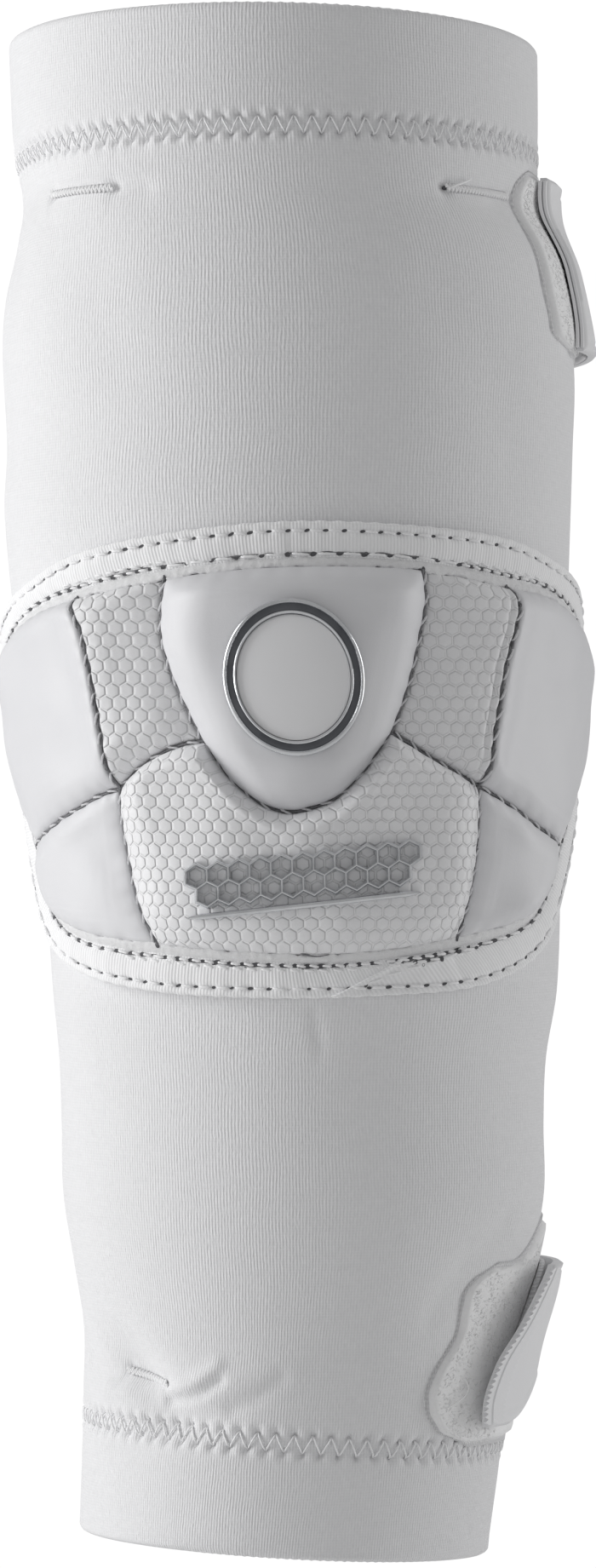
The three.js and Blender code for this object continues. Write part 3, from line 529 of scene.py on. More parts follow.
def cover(tree, shader, share, first, second, relief):
    """A finish's colour, from the first to the second by a share, and its relief."""
    tone = add(tree, "ShaderNodeMix", {"data_type": "RGBA"}, {0: share, 6: linear(first), 7: linear(second)})
    tree.links.new(tone.outputs[2], shader.inputs["Base Color"])
    tree.links.new(relief.outputs[0], shader.inputs["Normal"])


def knit_jersey():
    """Polyester jersey, circular knitted: fine wales run up the arm, matte with a little fuzz."""
    finish, tree, shader = new_finish("knit jersey", Roughness=0.92, IOR=1.46,
                                      Sheen_Weight=0.25, Sheen_Roughness=0.6)
    layout = add(tree, "ShaderNodeUVMap", {"uv_map": "cloth"})
    flat = add(tree, "ShaderNodeSeparateXYZ", links={"Vector": layout.outputs["UV"]})
    sway = add(tree, "ShaderNodeTexNoise",
               links={"Vector": layout.outputs["UV"], "Scale": 60.0, "Detail": 2.0})
    swayed = add(tree, "ShaderNodeMath", {"operation": "MULTIPLY_ADD"},
                 {0: sway.outputs[0], 1: 0.0016, 2: flat.outputs["X"]})
    # Wales are 0.8 mm apart, and the stitches along them 0.6 mm.
    wales = waves(tree, swayed.outputs[0], 0.0008)
    courses = waves(tree, flat.outputs["Y"], 0.0006)
    yarn = add(tree, "ShaderNodeMapping",
               links={"Vector": layout.outputs["UV"], "Scale": (2400.0, 700.0, 1.0)})
    uneven = add(tree, "ShaderNodeTexNoise", links={"Vector": yarn.outputs[0], "Scale": 1.0, "Detail": 3.0})
    shown = add(tree, "ShaderNodeTexNoise",
                links={"Vector": layout.outputs["UV"], "Scale": 240.0, "Detail": 2.0})
    broken = add(tree, "ShaderNodeMath", {"operation": "MULTIPLY"},
                 {0: wales.outputs[0], 1: shown.outputs[0]})
    loops = add(tree, "ShaderNodeMath", {"operation": "MULTIPLY_ADD"},
                {0: courses.outputs[0], 1: 0.18, 2: broken.outputs[0]})
    height = add(tree, "ShaderNodeMath", {"operation": "MULTIPLY_ADD"},
                 {0: uneven.outputs[0], 1: 1.1, 2: loops.outputs[0]})
    relief = add(tree, "ShaderNodeBump",
                 links={"Height": height.outputs[0], "Distance": 0.00011, "Strength": 1.03})
    # The colour follows the relief's height. Its noise is the yarn's uneven tone, and the darker grooves
    # between wales and courses are painted shade.
    tone = add(tree, "ShaderNodeMath", {"operation": "MULTIPLY"}, {0: height.outputs[0], 1: 0.55})
    cover(tree, shader, tone.outputs[0], "#dcdcde", "#f6f6f7", relief)
    return finish


def leather_grain(tree, shader, light, dark, depth):
    """Polyurethane skin on a knit base: satin, with a fine pebble grain and faint uneven tone."""
    where = add(tree, "ShaderNodeTexCoord")
    # The grain's pebbles are about 0.35 mm across.
    pebbles = add(tree, "ShaderNodeTexVoronoi", {"feature": "SMOOTH_F1"},
                  {"Vector": where.outputs["Object"], "Scale": 2800.0, "Smoothness": 0.6})
    cloud = add(tree, "ShaderNodeTexNoise",
                links={"Vector": where.outputs["Object"], "Scale": 45.0, "Detail": 3.0})
    relief = add(tree, "ShaderNodeBump",
                 links={"Height": pebbles.outputs["Distance"], "Distance": depth, "Strength": 0.6})
    cover(tree, shader, cloud.outputs[0], dark, light, relief)


def smooth_leather():
    """Smooth synthetic leather over foam: a soft satin gloss."""
    finish, tree, shader = new_finish("smooth synthetic leather", Roughness=0.46, IOR=1.5, Coat_Weight=0.06,
                                      Coat_Roughness=0.35)
    leather_grain(tree, shader, "#e4e4e6", "#d9d9dc", 0.00002)
    return finish


def hexagon_reach(tree, flat, pitch):
    """For cells point up: 0 at a cell's middle to 1 at its edge, from flat metres."""
    nearest = None
    for shift in (0.5, 0.0):
        cells = add(tree, "ShaderNodeMapping", links={
            "Vector": flat, "Location": (shift, shift, 0.0),
            "Scale": (1 / pitch, 1 / (pitch * math.sqrt(3)), 1.0)})
        part = add(tree, "ShaderNodeVectorMath", {"operation": "FRACTION"}, {0: cells.outputs[0]})
        middle = add(tree, "ShaderNodeVectorMath", {"operation": "SUBTRACT"},
                     {0: part.outputs[0], 1: (0.5, 0.5, 0.0)})
        away = add(tree, "ShaderNodeVectorMath", {"operation": "ABSOLUTE"}, {0: middle.outputs[0]})
        axes = add(tree, "ShaderNodeSeparateXYZ", links={"Vector": away.outputs[0]})
        side = add(tree, "ShaderNodeMath", {"operation": "MULTIPLY"}, {0: axes.outputs["X"], 1: 2.0})
        slant = add(tree, "ShaderNodeMath", {"operation": "MULTIPLY_ADD"},
                    {0: axes.outputs["Y"], 1: 3.0, 2: axes.outputs["X"]})
        reach = add(tree, "ShaderNodeMath", {"operation": "MAXIMUM"},
                    {0: side.outputs[0], 1: slant.outputs[0]})
        if nearest is None:
            nearest = reach
        else:
            nearest = add(tree, "ShaderNodeMath", {"operation": "MINIMUM"},
                          {0: nearest.outputs[0], 1: reach.outputs[0]})
    return nearest.outputs[0]


def embossed_leather():
    """The same leather pressed with 3 mm honeycomb cells: its pressed lines are a little lighter."""
    finish, tree, shader = new_finish("honeycomb embossed leather", Roughness=0.5, IOR=1.5)
    leather_grain(tree, shader, "#f1f1f2", "#e7e7e9", 0.00002)
    body, grain = (shader.inputs[name].links[0].from_socket for name in ("Base Color", "Normal"))
    layout = add(tree, "ShaderNodeUVMap", {"uv_map": "cloth"})
    reach = hexagon_reach(tree, layout.outputs["UV"], comb_cell * MM)
    line = add(tree, "ShaderNodeMapRange", {"interpolation_type": "SMOOTHSTEP"},
               {"Value": reach, "From Min": 0.84, "From Max": 0.95})
    deep = add(tree, "ShaderNodeMapRange", {"interpolation_type": "SMOOTHSTEP"},
               {"Value": reach, "From Min": 0.74, "From Max": 0.98, "To Min": 1.0, "To Max": 0.0})
    # The lines are pressed 0.25 mm deep.
    pressed = add(tree, "ShaderNodeBump", links={
        "Height": deep.outputs[0], "Distance": 0.00025, "Strength": 1.0, "Normal": grain})
    tree.links.new(pressed.outputs[0], shader.inputs["Normal"])
    share = add(tree, "ShaderNodeMath", {"operation": "MULTIPLY"}, {0: line.outputs[0], 1: 0.85})
    mix = add(tree, "ShaderNodeMix", {"data_type": "RGBA"},
              {0: share.outputs[0], 6: body, 7: linear("#f4f4f5")})
    tree.links.new(mix.outputs[2], shader.inputs["Base Color"])
    return finish


def ribbed_tape():
    """Knitted elastic tape: matte, with fine ribs across it. They are 0.6 mm apart, drawn at 0.75 to show."""
    finish, tree, shader = new_finish("ribbed knit tape", Roughness=0.88, Sheen_Weight=0.2)
    layout = add(tree, "ShaderNodeUVMap", {"uv_map": "cloth"})
    flat = add(tree, "ShaderNodeSeparateXYZ", links={"Vector": layout.outputs["UV"]})
    ribs = waves(tree, flat.outputs["X"], 0.00075)
    fuzz = add(tree, "ShaderNodeTexNoise",
               links={"Vector": layout.outputs["UV"], "Scale": 2600.0, "Detail": 2.0})
    height = add(tree, "ShaderNodeMath", {"operation": "MULTIPLY_ADD"},
                 {0: fuzz.outputs[0], 1: 0.5, 2: ribs.outputs[0]})
    relief = add(tree, "ShaderNodeBump",
                 links={"Height": height.outputs[0], "Distance": 0.00006, "Strength": 1.03})
    # The rib valleys are painted darker than the crests: painted shade between the ribs.
    cover(tree, shader, ribs.outputs[0], "#f0f0f1", "#fbfbfc", relief)
    return finish


def fibrous(name, light, dark, scale, depth, sheen):
    """Matted or brushed fibres: dull, with an uneven tone and a rough face."""
    finish, tree, shader = new_finish(name, Roughness=0.97, Sheen_Weight=sheen, Sheen_Roughness=0.5)
    where = add(tree, "ShaderNodeTexCoord")
    fibres = add(tree, "ShaderNodeTexNoise", links={
        "Vector": where.outputs["Object"], "Scale": scale, "Detail": 5.0,
        "Roughness": 0.7, "Distortion": 1.2})
    relief = add(tree, "ShaderNodeBump",
                 links={"Height": fibres.outputs[0], "Distance": depth, "Strength": 1.03})
    cover(tree, shader, fibres.outputs[0], dark, light, relief)
    return finish


def woven_webbing():
    """Woven elastic webbing: matte, with a fine cross weave 0.7 mm apart."""
    finish, tree, shader = new_finish("woven elastic webbing", Roughness=0.8, Sheen_Weight=0.15)
    layout = add(tree, "ShaderNodeUVMap", {"uv_map": "cloth"})
    flat = add(tree, "ShaderNodeSeparateXYZ", links={"Vector": layout.outputs["UV"]})
    warp = waves(tree, flat.outputs["Y"], 0.0011)
    weft = waves(tree, flat.outputs["X"], 0.0007)
    cross = add(tree, "ShaderNodeMath", {"operation": "MULTIPLY_ADD"},
                {0: warp.outputs[0], 1: 0.7, 2: weft.outputs[0]})
    relief = add(tree, "ShaderNodeBump",
                 links={"Height": cross.outputs[0], "Distance": 0.00014, "Strength": 1.03})
    # The colour follows the weave's relief: the darker valleys between warp and weft are painted shade.
    tone = add(tree, "ShaderNodeMath", {"operation": "MULTIPLY"}, {0: cross.outputs[0], 1: 0.6})
    cover(tree, shader, tone.outputs[0], "#dadadc", "#f0f0f1", relief)
    return finish


def moulded_rubber():
    """Injection moulded soft plastic: an even matte skin with a faint spark-eroded texture."""
    finish, tree, shader = new_finish("moulded soft plastic", Roughness=0.52, IOR=1.48)
    where = add(tree, "ShaderNodeTexCoord")
    fine = add(tree, "ShaderNodeTexNoise",
               links={"Vector": where.outputs["Object"], "Scale": 2200.0, "Detail": 2.0})
    relief = add(tree, "ShaderNodeBump",
                 links={"Height": fine.outputs[0], "Distance": 0.00002, "Strength": 0.7})
    cloud = add(tree, "ShaderNodeTexNoise", links={"Vector": where.outputs["Object"], "Scale": 30.0})
    cover(tree, shader, cloud.outputs[0], "#e6e6e8", "#efeff0", relief)
    return finish


def twisted_thread(name, light, dark):
    """Twisted polyester thread: a slight lustre, with painted shade between its plies."""
    finish, tree, shader = new_finish(name, Roughness=0.6, Sheen_Weight=0.2)
    where = add(tree, "ShaderNodeTexCoord")
    plies = add(tree, "ShaderNodeTexNoise",
                links={"Vector": where.outputs["Object"], "Scale": 3500.0, "Detail": 2.0})
    relief = add(tree, "ShaderNodeBump",
                 links={"Height": plies.outputs[0], "Distance": 0.00006, "Strength": 1.03})
    # Darker where the relief is low: painted shade between the plies.
    cover(tree, shader, plies.outputs[0], dark, light, relief)
    return finish


def plated_metal(name, light, dark, roughness):
    """Chrome-plated plastic: bright, with faint rolling marks and a tone that isn't quite even."""
    finish, tree, shader = new_finish(name, Metallic=1.0)
    where = add(tree, "ShaderNodeTexCoord")
    cloud = add(tree, "ShaderNodeTexNoise",
                links={"Vector": where.outputs["Object"], "Scale": 260.0, "Detail": 4.0})
    rough = add(tree, "ShaderNodeMath", {"operation": "MULTIPLY_ADD"},
                {0: cloud.outputs[0], 1: 0.14, 2: roughness})
    relief = add(tree, "ShaderNodeBump",
                 links={"Height": cloud.outputs[0], "Distance": 0.00002, "Strength": 0.5})
    tree.links.new(rough.outputs[0], shader.inputs["Roughness"])
    cover(tree, shader, cloud.outputs[0], dark, light, relief)
    return finish


jersey = knit_jersey()
leather = smooth_leather()
comb_leather = embossed_leather()
tape = ribbed_tape()
felt = fibrous("needled felt", "#f6f6f6", "#e2e2e4", 1500.0, 0.0002, 0.2)
pile = fibrous("brushed loop pile", "#ffffff", "#f1f1f2", 900.0, 0.00012, 0.4)
webbing = woven_webbing()
rubber = moulded_rubber()
white_thread = twisted_thread("white polyester thread", "#ffffff", "#ececee")
grey_thread = twisted_thread("grey polyester thread", "#e6e6e8", "#b4b4b7")
# A dark thread for the loose end. The same colour also serves the strands of painted shade in the seams'
# grooves and in the tape's stitch channel.
dark_thread_and_shade = twisted_thread("dark polyester thread", "#8c8c8f", "#505053")
# Dark ovals at the needle holes: their colour is painted shade inside the holes.
needle_hole_shade = fibrous("shaded needle hole", "#6f6f72", "#49494c", 2500.0, 0.0001, 0.0)
bright = plated_metal("bright plated rim", "#f3f4f6", "#c9cbce", 0.14)
# The channel's dark base colour is partly its darker grey finish and partly painted dark reflection.
channel = plated_metal("dark plated channel", "#77797d", "#595b5f", 0.3)
field = moulded_rubber()


# Stitching

def stitch_body(place, lift, radius=0.27, arch=0.22, sink=0.45, slant=0.14, steps=9):
    """Threads from hole to hole. At shares of a stitch, place gives flat places and lift their level."""
    share = np.linspace(0, 1, steps)
    flat = place(share)
    count = flat.shape[0]
    swell = swelling(share)
    vary = rng.uniform(0.8, 1.2, (count, 1))
    out = lift(share) - sink + (sink + arch * vary) * swell
    lines, ups = over_cap(flat, out)
    side = unit(np.cross(np.gradient(lines, axis=1), ups))
    lines = lines + side * ((share - 0.5) * 2 * slant * rng.uniform(0.4, 1.5, (count, 1)))[..., None]
    thin = radius * rng.uniform(0.9, 1.1, (count, 1)) * (0.55 + 0.45 * swell)
    return tube_bodies(lines, ups, thin, sides=8, twist=5.0)


def hole_shade_body(points, ups, along, long=0.62, wide=0.4):
    """Small dark ovals of painted shade where the needle went through, a little sunk at the middle."""
    up, forward = unit(ups), unit(along)
    side = np.cross(forward, up)
    # The needle pulls each hole its own way.
    turned = rng.uniform(-0.5, 0.1, (len(points), 1))
    forward, side = (forward * np.cos(turned) + side * np.sin(turned),
                     side * np.cos(turned) - forward * np.sin(turned))
    uneven = rng.uniform(0.55, 1.1, (len(points), 1))
    forward, side = forward * uneven, side * rng.uniform(0.7, 1.1, (len(points), 1))
    angle = (2 * math.pi * np.arange(10) / 10)[:, None]
    oval = np.cos(angle) * forward[:, None] * long + np.sin(angle) * side[:, None] * wide
    middle, over = points[:, None], up[:, None]
    rings = [middle + oval * reach + over * level
             for reach, level in ((1.0, 0.05), (0.75, 0.09), (0.35, 0.02))]
    under = middle - over * 0.35 + (rings[0] - middle) * 0.8
    return ringed_bodies(np.stack([under] + rings, axis=1))


def arc_shares(curve, level, samples=3000):
    """The run of a curve on the cap, in millimetres, and the shares that it belongs to."""
    share = np.linspace(0, 1, samples)
    solid = on_cap(curve(share), level)
    run = np.concatenate([[0.0], np.cumsum(np.linalg.norm(np.diff(solid, axis=0), axis=-1))])
    return run, share


def seam_stitches(curve, level, pitch, gap, raised=lambda share: 0.0, **shape):
    """Stitches, and the painted shade of their needle holes, along a curve on the cap, raised over a level at
    shares of it.
    """
    run, share = arc_shares(curve, level)
    count = max(int(round(run[-1] / pitch)), 1)
    step = run[-1] / count

    def share_at(t):
        s = (np.arange(count)[:, None] + (gap / 2 + t[None] * (pitch - gap)) / pitch) * step
        return np.interp(s, run, share)
    threads = stitch_body(lambda t: curve(share_at(t)), lambda t: level + raised(share_at(t)), **shape)
    s = np.arange(count + 1) * step
    at, ahead = curve(np.interp(s, run, share)), curve(np.interp(s + 0.3, run, share))
    behind = curve(np.interp(s - 0.3, run, share))
    here = level + raised(np.interp(s, run, share))
    base = on_cap(at, here)
    holes = hole_shade_body(base, on_cap(at, here + 1.0) - base, on_cap(ahead, here) - on_cap(behind, here))
    return threads, holes


# Sleeve

# How far each end of the sleeve is rounded.
lip_reach = 1.6
# Half the zigzags' height, and how many zigzags go round each hem.
seam_half = 1.9
upper_zigs, lower_zigs = 92, 72
# How far each hem's seam is aslant.
upper_slant, lower_slant = 0.4, -3.4


def upper_seam(turn):
    return upper_length - upper_hem + upper_slant * np.sin(turn)


def lower_seam(turn):
    return -lower_length + lower_hem + lower_slant * np.sin(turn)


def zigzag_relief(turn, above, zigs):
    """How a zigzag draws the knit down at its points and lets it puff between them."""
    phase = turn * zigs
    upper_point, lower_point = 0.5 + 0.5 * np.cos(phase), 0.5 - 0.5 * np.cos(phase)
    dimple = bell(above - seam_half, 0.7) * upper_point ** 3 + bell(above + seam_half, 0.7) * lower_point ** 3
    puff = bell(above - 2.6, 0.9) * lower_point + bell(above + 2.6, 0.9) * upper_point
    saw = seam_half * (2 / math.pi) * np.arcsin(np.clip(np.cos(phase), -1, 1))
    pressed = bell((above - saw) * 0.45, 0.4) * (np.abs(above) < seam_half + 0.4)
    band = bell(above, 3.4)
    return -1.15 * dimple + 0.3 * puff - 0.2 * pressed - 0.35 * band


# Bartacks: start and end as turn in degrees and height, and the depth of the pull at each end.
TACKS = {
    "upper_left": ((-60.2, 122.5), (-38.2, 121.8), 1.5, 0.4),
    "upper_right": ((38.2, 121.9), (63.5, 122.8), 0.8, 0.5),
    "lower_left": ((-55.0, -131.3), (-38.6, -133.8), 0.8, 0.4),
}
# Folds beside them and dents: points of their line, width and depth.
FOLDS = [
    ([(-21.0, -132.3), (-26.0, -135.2), (-30.5, -136.5), (-37.3, -137.2)], 1.5, 1.1),
    ([(-62.6, -135.3), (-50.4, -135.6), (-37.4, -135.4), (-28.9, -133.4), (-22.0, -129.6)], 2.0, -0.75),
    ([(-74.0, -130.0), (-64.1, -132.4), (-57.0, -132.9)], 2.4, 0.9),
    ([(-17.5, -138.5), (-10.8, -136.0), (-4.5, -131.9)], 1.8, 0.45),
    ([(-72.0, 128.0), (-62.0, 126.0), (-46.0, 126.5), (-30.0, 130.0)], 2.0, 0.4),
    ([(-38.0, 121.6), (-30.0, 120.6)], 2.4, 0.5),
    ([(39.0, 121.0), (30.0, 118.5), (22.0, 117.0)], 2.2, 0.3),
    ([(61.0, 121.0), (50.0, 118.5), (38.0, 119.5)], 1.6, 0.4),
    ([(-98.0, 114.0), (-84.0, 112.0), (-74.0, 111.0)], 6.5, 1.1),
    ([(-58.0, 114.0), (-44.0, 104.0), (-36.0, 84.0)], 9.0, 0.5),
    ([(58.0, -100.0), (46.0, -107.0), (36.0, -118.0)], 3.2, 0.6),
    ([(30.0, 96.0), (44.0, 84.0), (52.0, 66.0)], 8.0, 0.5),
    ([(2.0, -54.0), (4.0, -60.0)], 1.3, 0.5),
]


def line_away(turn, height, line):
    """The distance in millimetres from a line of (degrees, height) places on the sleeve."""
    x, y = turn * mean_radius, height
    best = np.full(np.broadcast(x, y).shape, 1e9)
    for (t0, h0), (t1, h1) in zip(line[:-1], line[1:]):
        ax, bx = math.radians(t0) * mean_radius, math.radians(t1) * mean_radius
        dx, dy = bx - ax, h1 - h0
        share = np.clip(((x - ax) * dx + (y - h0) * dy) / (dx * dx + dy * dy), 0, 1)
        best = np.minimum(best, np.hypot(x - ax - share * dx, y - h0 - share * dy))
    return best


def sleeve_relief(turn, height):
    """What the zigzags, the bartacks and the folds do to the knit, over or under its even surface."""
    away = np.arctan2(np.sin(turn), np.cos(turn))
    relief = zigzag_relief(turn, height - upper_seam(turn), upper_zigs)
    relief = relief + zigzag_relief(turn, height - lower_seam(turn), lower_zigs)
    for start, end, pull, let in TACKS.values():
        relief = relief - 0.45 * bell(line_away(away, height, [start, end]), 1.1)
        for (at, up), deep in ((start, pull), (end, let)):
            far = np.hypot((away - math.radians(at)) * mean_radius, height - up)
            relief = relief - deep * bell(far, 1.5)
    for line, wide, deep in FOLDS:
        relief = relief - deep * bell(line_away(away, height, line), wide)
    slow = drift(away * mean_radius * 0.6, height * 0.35, 34.0, 3)
    return relief + 0.22 * slow * np.cos(away / 2) ** 2


def sleeve_rows():
    """Shares of the length with rows close together at both hem seams and at the tacks."""
    heights = [-lower_length + lip_reach]
    close = [(-154.0, -125.5, 0.85), (upper_length - upper_hem - 6.5, upper_length - upper_hem + 6.5, 0.6),
             (119.0, 126.5, 0.9)]
    while heights[-1] < upper_length - lip_reach:
        here = heights[-1]
        step = next((s for low, high, s in close if low <= here < high), 2.4)
        heights.append(here + step)
    heights = np.array(heights[:-1] + [upper_length - lip_reach])
    return np.where(heights >= 0, heights / upper_length, heights / lower_length)


def make_sleeve():
    """The knit from the upper hem down the outside, and up again inside."""
    columns = 408
    turn = np.linspace(0, 2 * math.pi, columns, endpoint=False) + math.pi
    outer = sleeve_rows()
    lip = np.linspace(0, math.pi, 9)
    half = fold_wall / 2
    upper_in, lower_in = 1 - upper_hem / upper_length, -1 + lower_hem / lower_length
    profile = [(up, 0.0, 1.0) for up in outer]
    profile += [(1 - lip_reach * (1 - math.sin(a)) / upper_length, -half + half * math.cos(a), 0.0)
                for a in lip[1:]]
    profile += [(up, -fold_wall, 0.0) for up in np.linspace(0.985, upper_in, 7)]
    profile += [(upper_in - 0.003, -fold_wall + 0.5, 0.0), (upper_in - 0.004, -sleeve_wall - 0.2, 0.0)]
    profile += [(up, -sleeve_wall, 0.0) for up in np.linspace(upper_in - 0.012, lower_in + 0.012, 26)]
    profile += [(lower_in + 0.004, -sleeve_wall - 0.2, 0.0), (lower_in + 0.003, -fold_wall + 0.5, 0.0)]
    profile += [(up, -fold_wall, 0.0) for up in np.linspace(lower_in, -0.985, 7)]
    profile += [(-1 + lip_reach * (1 - math.sin(a)) / lower_length, -half - half * math.cos(a), 0.0)
                for a in lip[:-1]]
    up, out, face = table_columns(profile)
    height = height_of(up, turn[None])
    relief = sleeve_relief(turn[None], height) * face
    uneven = 0.5 + 0.5 * np.sin(turn[None] * 3.0 + 1.0)
    edge = (np.abs(up) > 0.985) * 0.12 * np.sin(turn[None] * 260) * uneven
    points = skin(turn[None], height + edge, out + relief)
    flat = np.stack(np.broadcast_arrays((turn[None] - math.pi) * mean_radius * MM, height * MM), axis=-1)
    body = ring_body(points)
    wide_flat = np.concatenate([flat, flat[:, :1] + [2 * math.pi * mean_radius * MM, 0]], axis=1)
    nodes = ("sleeve", "upper_hem", "lower_hem")
    piece = make_piece("knit_sleeve", body, jersey, nodes, cloth=flat)
    return wrap_cloth(piece, body, wide_flat)


def zigzag_threads(name, seam_height, zigs, nodes):
    """The hem's zigzag: straight threads between an upper and a lower row of needle holes."""
    point = (np.arange(2 * zigs) * math.pi / zigs)[:, None]
    share = np.linspace(0, 1, 7)[None]
    turn = point + share * math.pi / zigs
    rising = np.where(np.arange(2 * zigs) % 2 == 0, 1.0, -1.0)[:, None]
    height = seam_height(turn) + rising * seam_half * (1 - 2 * share)
    lines, ups = over_sleeve(turn, height, swelling(share) - 0.9)
    threads = tube_bodies(lines, ups, 0.2, sides=6, twist=5.0)
    return make_piece(name, threads, white_thread, nodes)


def tack_body(start, end, wide=0.8, pitch=1.15):
    """A bartack: one thread that goes back and forth across a short line."""
    (t0, h0), (t1, h1) = start, end
    length = math.hypot(math.radians(t1 - t0) * mean_radius, h1 - h0)
    turns = int(length / pitch)
    share = np.linspace(0, 1, turns * 8)
    swing = np.sin(share * turns * 2 * math.pi) * wide
    turn = np.radians(t0 + (t1 - t0) * share)
    height = h0 + (h1 - h0) * share + swing
    out = 0.12 + 0.26 * np.cos(share * turns * 4 * math.pi)
    lines, ups = over_sleeve(turn, height, out)
    return tube_bodies(lines[None], ups[None], 0.25, sides=6)


def make_tacks():
    """The bartacks, and a thread tail at the right one."""
    bodies = [tack_body(start, end) for start, end, _, _ in TACKS.values()]
    tail = smooth_line([(38.6, 121.6, 0.1), (40.5, 122.4, 0.9), (43.0, 123.2, 1.1), (46.2, 124.3, 0.7)])
    turn, height, out = tail(np.linspace(0, 1, 14)).T
    lines, ups = over_sleeve(np.radians(turn), height, out)
    bodies.append(tube_bodies(lines[None], ups[None], 0.26, sides=6))
    return make_piece("bartacks", merged(bodies), white_thread, ("sleeve",))


def make_tack_hole_shades():
    """Painted shade in the needle's hole at the first end of each bartack."""
    ends = np.array([start for start, _, _, _ in TACKS.values()]) + [0.6, 0.0]
    turn, height = np.radians(ends[:, 0]), ends[:, 1]
    base = skin(turn, height, -1.0)
    up, ahead = skin(turn, height, 0.0) - base, skin(turn + 0.01, height, -1.0) - base
    holes = hole_shade_body(base, up, ahead, long=0.9, wide=0.5)
    return make_piece("bartack_hole_shades", holes, needle_hole_shade, ("sleeve",))


knit_sleeve = make_sleeve()
upper_zigzag = zigzag_threads("upper_hem_zigzag", upper_seam, upper_zigs, ("sleeve", "upper_hem"))
lower_zigzag = zigzag_threads("lower_hem_zigzag", lower_seam, lower_zigs, ("sleeve", "lower_hem"))
bartacks = make_tacks()
tack_hole_shades = make_tack_hole_shades()


# Cap backing and panels

def make_backing():
    """The felt under the whole cap, a little inside the tape's outer edge."""
    sides = [band_between(start, end, band_outer)
             for start, end in ((21, 17), (5, 9), (21 - len(BAND), 5), (17, 9))]
    places = patch(*sides, np.linspace(0, 1, 110), np.linspace(0, 1, 48)) * 0.985
    rough = 0.12 * drift(places[..., 0] * cap_width / 2, places[..., 1] * half_cap, 3.0, 11)
    body = sheet_body(on_cap(places, 1.6 + rough), on_cap(places, 0.3))
    return make_piece("felt_backing", body, felt, ("cap_backing",))


def close_to_edges(count, span):
    """Shares from 0 to 1 that are closer together at both ends."""
    even = np.linspace(-1, 1, count)
    return 0.5 + 0.5 * np.sign(even) * np.abs(even) ** span


def hexagons(x, y, pitch):
    """For hexagons point up: 0 at a cell's middle to 1 at its edge."""
    tall = pitch * math.sqrt(3)
    best = None
    for shift_x, shift_y in ((0.0, 0.0), (pitch / 2, tall / 2)):
        dx = (x - shift_x + pitch / 2) % pitch - pitch / 2
        dy = (y - shift_y + tall / 2) % tall - tall / 2
        reach = np.maximum(np.abs(dx), 0.5 * np.abs(dx) + math.sqrt(3) / 2 * np.abs(dy))
        best = reach if best is None else np.minimum(best, reach)
    return best / (pitch / 2)


def rounded(distance, roll):
    """How a padded panel rises from its seam: steep at first, then easing off."""
    t = np.clip(distance / (roll * seam_roll), 0, 1)
    return 0.2 * np.sqrt(1 - (1 - t) ** 2) + 0.8 * t * (2 - t)


# The two upper honeycomb panels rise to a ridge on their outer edge: its number and how much they rise.
RIDGES = {"honeycomb_left": (0, 1.5), "honeycomb_right": (1, 1.8)}
# The wings meet them there: the panel beside and the edge's number on the wing.
BESIDE = {"wing_upper_left": ("honeycomb_left", 1), "wing_upper_right": ("honeycomb_right", 0)}
# Honeycomb edges that are folded back beside their seam: their number on the panel, and how wide.
FOLDED_EDGES = {"honeycomb_lower": 1, "honeycomb_right": 1}
folded_wide = 1.9


def panel_grid(name, pitch, inset=0.25):
    """Places, thickness and distances to the four edges of a panel."""
    left, right, top, bottom, crown, rolls = PANELS[name]
    some = np.linspace(0, 1, 9)
    wide = float(np.max(cap_distance(left(some), right(some))))
    tall = float(np.max(cap_distance(top(some), bottom(some))))
    u = np.linspace(0, 1, max(int(wide / pitch), 12))
    w = np.linspace(0, 1, max(int(tall / pitch), 12))
    across = np.maximum(cap_distance(left(w), right(w)), 2.7)[:, None]
    down = np.maximum(cap_distance(top(u), bottom(u)), 2.7)[None]
    edges = (u[None] * across, (1 - u[None]) * across, w[:, None] * down, (1 - w[:, None]) * down)
    ridge, lift = RIDGES.get(name, (None, 0.0))
    rise = 1.0
    for number, (distance, roll) in enumerate(zip(edges, rolls)):
        rise = rise * (1.0 if number == ridge else rounded(distance, roll))
    thick = panel_edge + (crown - panel_edge) * rise
    if ridge is not None:
        inside = edges[1 - ridge]
        ends = rounded(edges[2], 0.7) * rounded(edges[3], 0.7)
        thick = thick + lift * inside / (edges[0] + edges[1]) * ends - 1.3 * bell(inside, 5.0)
    if name in BESIDE:
        beside, number = BESIDE[name]
        near = bell(edges[number], 9.0)
        thick = thick * (1 - near) + np.interp(w, *ridge_height(beside))[:, None] * near
    places = patch(left, right, top, bottom, u, w)
    # The panel is cut back from its seams a little.
    middle = places.mean(axis=(0, 1))
    back = inset / np.maximum(np.hypot((places[..., 0] - middle[0]) * cap_width / 2,
                                       (places[..., 1] - middle[1]) * half_cap), inset)
    rim = np.minimum.reduce([np.broadcast_to(e, thick.shape) for e in edges])
    places = places + (middle - places) * (back * (rim < inset * 2))[..., None]
    runs = (w[:, None] * down + 0 * across, u[None] * across + 0 * down)
    return places, thick, edges, rim, runs


def ridge_height(name):
    """How thick a honeycomb panel is along its ridge, at shares of the seam."""
    column = 0 if RIDGES[name][0] == 0 else -1
    height = panel_grid(name, 1.5)[1][:, column]
    return np.linspace(0, 1, len(height)), height


def soft_map(rough, rows, columns):
    """A coarse grid of moves spread smoothly over a finer one of the same patch."""
    for axis, count in ((0, rows), (1, columns)):
        run = np.linspace(0, rough.shape[axis] - 1, count)
        low = np.minimum(run.astype(int), rough.shape[axis] - 2)
        share = run - low
        share = eased(share).reshape((-1, 1, 1) if axis == 0 else (1, -1, 1))
        rough = np.take(rough, low, axis=axis) * (1 - share) + np.take(rough, low + 1, axis=axis) * share
    return rough


